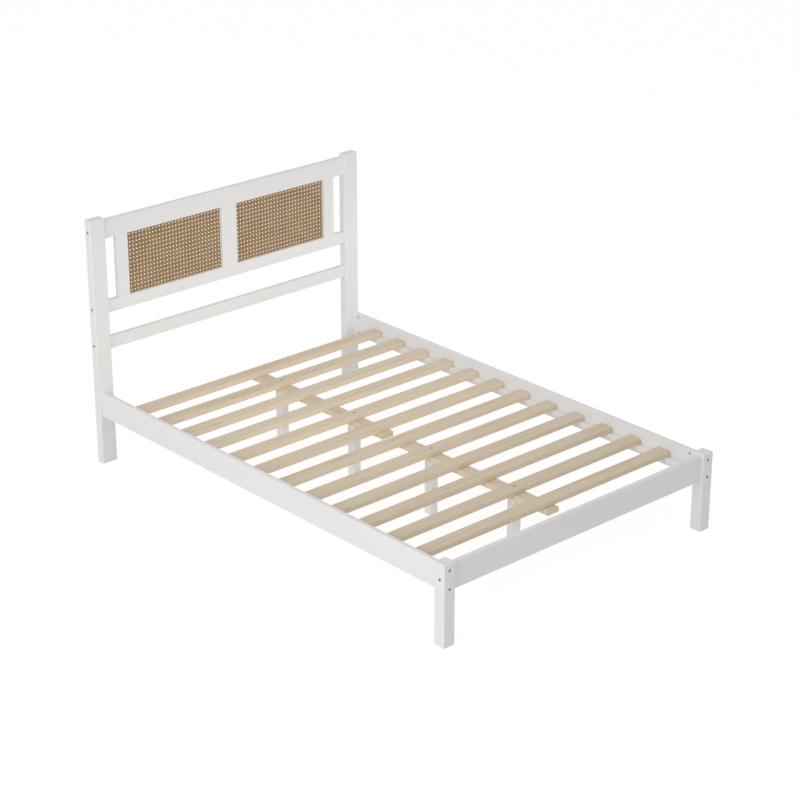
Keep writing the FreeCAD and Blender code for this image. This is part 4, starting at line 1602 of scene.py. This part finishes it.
@dataclass(frozen=True)
class FastenerShapes:
    """Models one fastener of each kind, which starts at zero and points along +Z."""

    head_radius: float = 0.006
    head_height: float = 0.0035
    head_sides: int = 40
    socket_radius: float = 0.0029
    socket_depth: float = 0.0024
    socket_sides: int = 6
    bolt_radius: float = 0.003
    bolt_sides: int = 24
    bolt_pitch: float = 0.001
    thread_share: float = 0.4
    groove: float = 0.86
    nut_radius: float = 0.005
    nut_sides: int = 38
    slot_width: float = 0.0014
    slot_depth: float = 0.0012
    screw_head_radius: float = 0.004
    screw_head_height: float = 0.002
    screw_radius: float = 0.002
    screw_pitch: float = 0.0018
    tip: float = 0.004
    cross_reach: float = 0.0019
    cross_width: float = 0.0008
    rim: float = 0.0005
    rim_segments: int = 3

    def bolt(self, length: float) -> Piece:
        """Model a socket head bolt with an eased head and a thread at its end.

        Args:
            length: Length over all.

        Returns:
            The bolt.
        """
        head = self.bar("bolt_head", 0.0, self.head_height, self.head_radius, self.head_sides)
        self.ease(head, (0.0,))
        size = (self.socket_radius, 2 * self.socket_depth, self.socket_sides)
        carve(head, add_bar("socket_cutter", Vector(), UP, *size))
        threaded = length * (1 - self.thread_share)
        inside = (self.socket_depth + self.head_height) / 2
        shank = self.bar("bolt_shank", inside, threaded, self.bolt_radius, self.bolt_sides)
        thread = self.thread(threaded - TINY, length, self.bolt_radius, self.bolt_pitch)
        return join([head, shank, thread], "bolt")

    def nut(self, length: float) -> Piece:
        """Model a barrel nut with a driver slot in its outer end and a hole across its middle.

        Args:
            length: Length of the barrel.

        Returns:
            The nut.
        """
        barrel = self.bar("nut", 0.0, length, self.nut_radius, self.nut_sides)
        self.ease(barrel, (0.0, length))
        corner = Vector((2 * self.nut_radius, self.slot_width / 2, self.slot_depth))
        carve(barrel, add_block("slot_cutter", -corner, corner))
        middle = Vector((0, 0, length / 2))
        size = (self.bolt_radius, 4 * self.nut_radius, self.bolt_sides)
        carve(barrel, add_bar("hole_cutter", middle, ACROSS, *size))
        return barrel

    def screw(self, length: float) -> Piece:
        """Model a countersunk wood screw with a cross recess, a coarse thread and a point.

        Args:
            length: Length over all.

        Returns:
            The screw.
        """
        height = self.screw_head_height
        head = self.cone("screw_head", 0.0, height, self.screw_head_radius, self.screw_radius)
        arms = (self.cross_reach, self.cross_width / 2)
        for across, along in (arms, arms[::-1]):
            corner = Vector((across, along, height / 2))
            carve(head, add_block("cross_cutter", -corner, corner))
        point = length - self.tip
        thread = self.thread(height - TINY, point, self.screw_radius, self.screw_pitch)
        root = self.screw_radius * self.groove
        tip = self.cone("screw_tip", point - self.screw_pitch, length, root, 0.0)
        return join([head, thread, tip], "screw")

    @staticmethod
    def bar(name: str, low: float, high: float, radius: float, sides: int) -> Piece:
        """Bar along +Z between two levels."""
        return add_bar(name, Vector((0, 0, (low + high) / 2)), UP, radius, high - low, sides)

    @staticmethod
    def cone(name: str, low: float, high: float, low_radius: float, high_radius: float) -> Piece:
        """Add a cone along +Z between two levels.

        Args:
            name: Name of the object.
            low: Level at which it starts.
            high: Level that it reaches.
            low_radius: Radius where it starts.
            high_radius: Radius at its other end.

        Returns:
            The cone.
        """
        deselect()
        bpy.ops.mesh.primitive_cone_add(
            vertices=CONE_SIDES,
            radius1=low_radius,
            radius2=high_radius,
            depth=high - low,
            location=(0, 0, (low + high) / 2),
        )
        return fresh(name)

    def ease(self, piece: Piece, levels: Sequence[float]) -> None:
        """Round the rims of a bar at some levels.

        Args:
            piece: The bar.
            levels: Levels along Z.
        """

        def on_rim(edge: bmesh.types.BMEdge) -> bool:
            """Whether both ends of an edge are at one of the levels."""
            ends = [vertex.co.z for vertex in edge.verts]
            return any(all(abs(end - level) < TINY for end in ends) for level in levels)

        bevel(piece, on_rim, self.rim, self.rim_segments)

    def thread(self, low: float, high: float, radius: float, pitch: float) -> Piece:
        """Model ridges along +Z between two levels.

        Args:
            low: Level at which they start.
            high: Level that they reach.
            radius: Radius over the ridges.
            pitch: Distance from ridge to ridge, changed a little to fill the length.

        Returns:
            The ridged bar, closed at both ends.
        """
        count = round((high - low) / pitch)
        pitch = (high - low) / count
        ridge = self.bar("thread", low, low + pitch, radius * self.groove, THREAD_SIDES)
        middle = low + pitch / 2
        edit(ridge)
        open_ends(ridge)
        bpy.ops.mesh.bisect(plane_co=(0, 0, middle), plane_no=UP)
        choose_level(ridge, middle)
        out = 1 / self.groove
        bpy.ops.transform.resize(value=(out, out, 1), center_override=(0, 0, 0))
        leave()
        repeat(ridge, count, (0, 0, pitch), use_merge_vertices=True, merge_threshold=TINY)
        edit(ridge)
        take_all()
        bpy.ops.mesh.fill_holes(sides=0)
        turn_outwards()
        leave()
        return ridge


@dataclass
class Fasteners:
    """Bolts, nuts and screws with their details, and what is fixed inside the wood."""

    finishes: Finishes
    shapes: FastenerShapes = FastenerShapes()
    bolts: tuple[str, ...] = ("leg_bolts", "post_bolts", "headboard_bolts", "centre_leg_bolts")
    nuts: tuple[str, ...] = ("rail_barrel_nuts", "headboard_barrel_nuts")
    screws: tuple[str, ...] = ("ledger_screws",)
    inserts: tuple[str, ...] = ("centre_leg_inserts",)
    wooden: tuple[str, ...] = ("rail_dowels", "headboard_dowels", "stile_dowels", "slat_pins")

    def build(self) -> None:
        """Model the fasteners that can be seen, and dress those inside the wood."""
        shapes, finishes = self.shapes, self.finishes
        seen = ((self.bolts, shapes.bolt), (self.nuts, shapes.nut), (self.screws, shapes.screw))
        for nodes, shape in seen:
            for node in nodes:
                self.model(node, shape)
        for nodes, coat in ((self.inserts, finishes.zinc), (self.wooden, finishes.beech)):
            for node in nodes:
                self.dress(node, coat.material)

    def model(self, node: str, shape: Callable[[float], Piece]) -> None:
        """Model all fasteners of one node as one piece.

        Args:
            node: Node of the frame.
            shape: Models one fastener of a given length.
        """
        masters: dict[float, Piece] = {}
        pieces = []
        for spot in spots_of(node):
            length = round(spot.length, LENGTH_DIGITS)
            if length not in masters:
                masters[length] = shape(length)
                smooth(masters[length])
            pick(masters[length])
            bpy.ops.object.duplicate()
            pieces.append(bpy.context.object)
            spot.put(bpy.context.object)
        for master in masters.values():
            bpy.data.objects.remove(master)
        piece = join(pieces, f"{node}_set")
        piece.data.materials.append(self.finishes.zinc.material)
        stand_for(piece, node, self.finishes.zinc.slot)

    @staticmethod
    def dress(node: str, material: bpy.types.Material) -> None:
        """Give a node of the frame its finish.

        Args:
            node: The node.
            material: Its material.
        """
        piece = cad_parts[node]
        for slot in piece.material_slots:
            slot.material = material
        if not piece.material_slots:
            piece.data.materials.append(material)
        LOG.info("%s dressed", node)


# --- Studio ---


@dataclass(frozen=True)
class PhotoCamera:
    """The photograph's camera: it looks at a point from an angle, and slides a little."""

    azimuth: float = -42.075
    elevation: float = 23.417
    distance: float = 9.2086
    aim: Place = (0.0, 0.0, 0.25175)
    slide: Span = (0.02766, 0.15687)
    lens: float = 101.43
    sensor: float = 36.0
    reach: float = 100.0

    def build(self) -> None:
        """Set up the camera and make it the scene's own."""
        azimuth, elevation = math.radians(self.azimuth), math.radians(self.elevation)
        forward = Vector((
            -math.sin(azimuth) * math.cos(elevation),
            math.cos(azimuth) * math.cos(elevation),
            -math.sin(elevation),
        ))
        right = Vector((math.cos(azimuth), math.sin(azimuth), 0.0))
        up = right.cross(forward)
        aside, raised = self.slide
        place = Vector(self.aim) - forward * self.distance + right * aside + up * raised
        turn = Matrix((right, up, -forward)).transposed()
        data = bpy.data.cameras.new("photo_camera")
        data.lens = self.lens
        data.sensor_width = self.sensor
        data.clip_end = self.reach
        camera = bpy.data.objects.new("photo_camera", data)
        camera.matrix_world = Matrix.Translation(place) @ turn.to_4x4()
        bpy.context.scene.collection.objects.link(camera)
        bpy.context.scene.camera = camera


@dataclass(frozen=True)
class Lamp:
    """A soft rectangular lamp that looks at a point."""

    name: str
    place: Place
    aim: Place
    size: Span
    watts: float
    spread: float = 180.0

    def build(self) -> None:
        """Hang the lamp."""
        data = bpy.data.lights.new(self.name, "AREA")
        data.shape = "RECTANGLE"
        data.size, data.size_y = self.size
        data.energy = self.watts
        data.spread = math.radians(self.spread)
        lamp = bpy.data.objects.new(self.name, data)
        place = Vector(self.place)
        turn = (Vector(self.aim) - place).to_track_quat("-Z", "Y").to_matrix().to_4x4()
        lamp.matrix_world = Matrix.Translation(place) @ turn
        lamp.visible_camera = False
        bpy.context.scene.collection.objects.link(lamp)


@dataclass
class Studio:
    """Camera, lamps, surrounding light and a plain white floor."""

    camera: PhotoCamera = PhotoCamera()
    lamps: tuple[Lamp, ...] = (
        Lamp("left_softbox", (-6.0, -1.5, 2.2), (0.0, 0.0, 0.4), (4.0, 3.0), 112.0),
        Lamp("top_softbox", (-0.5, -1.2, 4.0), (0.0, -0.6, 0.3), (2.5, 2.5), 7.5),
        Lamp("head_softbox", (0.35, -0.9, 0.8), (0.3, 1.08, 0.58), (2.4, 0.5), 2.0, 60.0),
        Lamp("floor_softbox", (0.0, -0.05, 0.001), (0.0, -0.05, 1.0), (0.5, 2.0), 0.95),
    )
    surround: float = 0.605
    floor_size: float = 80.0
    floor_tones: tuple[Colour, Colour] = (srgb(246, 246, 246), srgb(248, 248, 247))
    floor_grit: float = 3.0
    shadow: Colour = (0.22, 0.22, 0.22, 1.0)
    glow: float = 0.86

    def build(self) -> None:
        """Set everything up around the bed."""
        self.camera.build()
        for lamp in self.lamps:
            lamp.build()
        self.build_world()
        self.build_floor()
        bpy.context.scene.view_settings.view_transform = "Standard"

    @staticmethod
    def seen_share(layout: Nodes) -> Socket:
        """Tell the rays that show a surface from those that light the bed.

        Args:
            layout: The nodes of the world or of a material.

        Returns:
            One for camera, mirror and glass rays, and nothing for all others.
        """
        rays = layout.add("ShaderNodeLightPath").outputs
        share = rays["Is Camera Ray"]
        for ray in ("Is Glossy Ray", "Is Transmission Ray"):
            share = layout.math("ADD", share, rays[ray], clamp=True)
        return share

    def build_world(self) -> None:
        """Light the bed evenly from all round, with a background that looks plain white."""
        world = bpy.data.worlds.new("studio")
        world.use_nodes = True
        bpy.context.scene.world = world
        layout = Nodes(world.node_tree)
        light, white = layout.add("ShaderNodeBackground"), layout.add("ShaderNodeBackground")
        layout.fill(light, Color=WHITE, Strength=self.surround)
        layout.fill(white, Color=WHITE)
        share = self.seen_share(layout)
        mixed = layout.blend(share, light.outputs[0], white.outputs[0])
        layout.fill(layout.add("ShaderNodeOutputWorld"), Surface=mixed)

    def build_floor(self) -> None:
        """Lay a plain pale floor that looks white with a faint shadow, and is clear from below."""
        deselect()
        bpy.ops.mesh.primitive_plane_add(size=self.floor_size, location=(0, 0, 0))
        floor = bpy.context.object
        floor.name = "floor"
        material = bpy.data.materials.new("studio_floor")
        material.use_nodes = True
        layout = Nodes(material.node_tree)
        tone = layout.mix(layout.noise(layout.place(), self.floor_grit), *self.floor_tones)
        matt = layout.fill(layout.add("ShaderNodeBsdfDiffuse"), Color=tone)
        shadow = layout.fill(layout.add("ShaderNodeBsdfDiffuse"), Color=self.shadow)
        glow = layout.fill(layout.add("ShaderNodeEmission"), Strength=self.glow)
        adding = layout.add("ShaderNodeAddShader")
        bright = layout.chain(adding, shadow.outputs[0], glow.outputs[0])
        seen = layout.blend(self.seen_share(layout), matt.outputs[0], bright)
        from_below = layout.add("ShaderNodeNewGeometry").outputs["Backfacing"]
        clear = layout.add("ShaderNodeBsdfTransparent").outputs[0]
        surface = layout.blend(from_below, seen, clear)
        layout.fill(layout.add("ShaderNodeOutputMaterial"), Surface=surface)
        floor.data.materials.append(material)


def main() -> None:
    """Dress the whole bed and set up the studio."""
    logging.basicConfig(level=logging.INFO, format="%(name)s: %(message)s")
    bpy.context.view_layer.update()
    finishes = Finishes()
    Posts(finishes).build()
    Rails(finishes).build()
    SlatBase(finishes).build()
    Headboard(finishes).build()
    CanePanel(Side.LEFT, finishes, hole_across=-0.5103, hole_up=0.7307).build()
    CanePanel(Side.RIGHT, finishes, hole_across=0.0566, hole_up=0.7307).build()
    Fasteners(finishes).build()
    Studio().build()


if __name__ == "__main__":
    main()
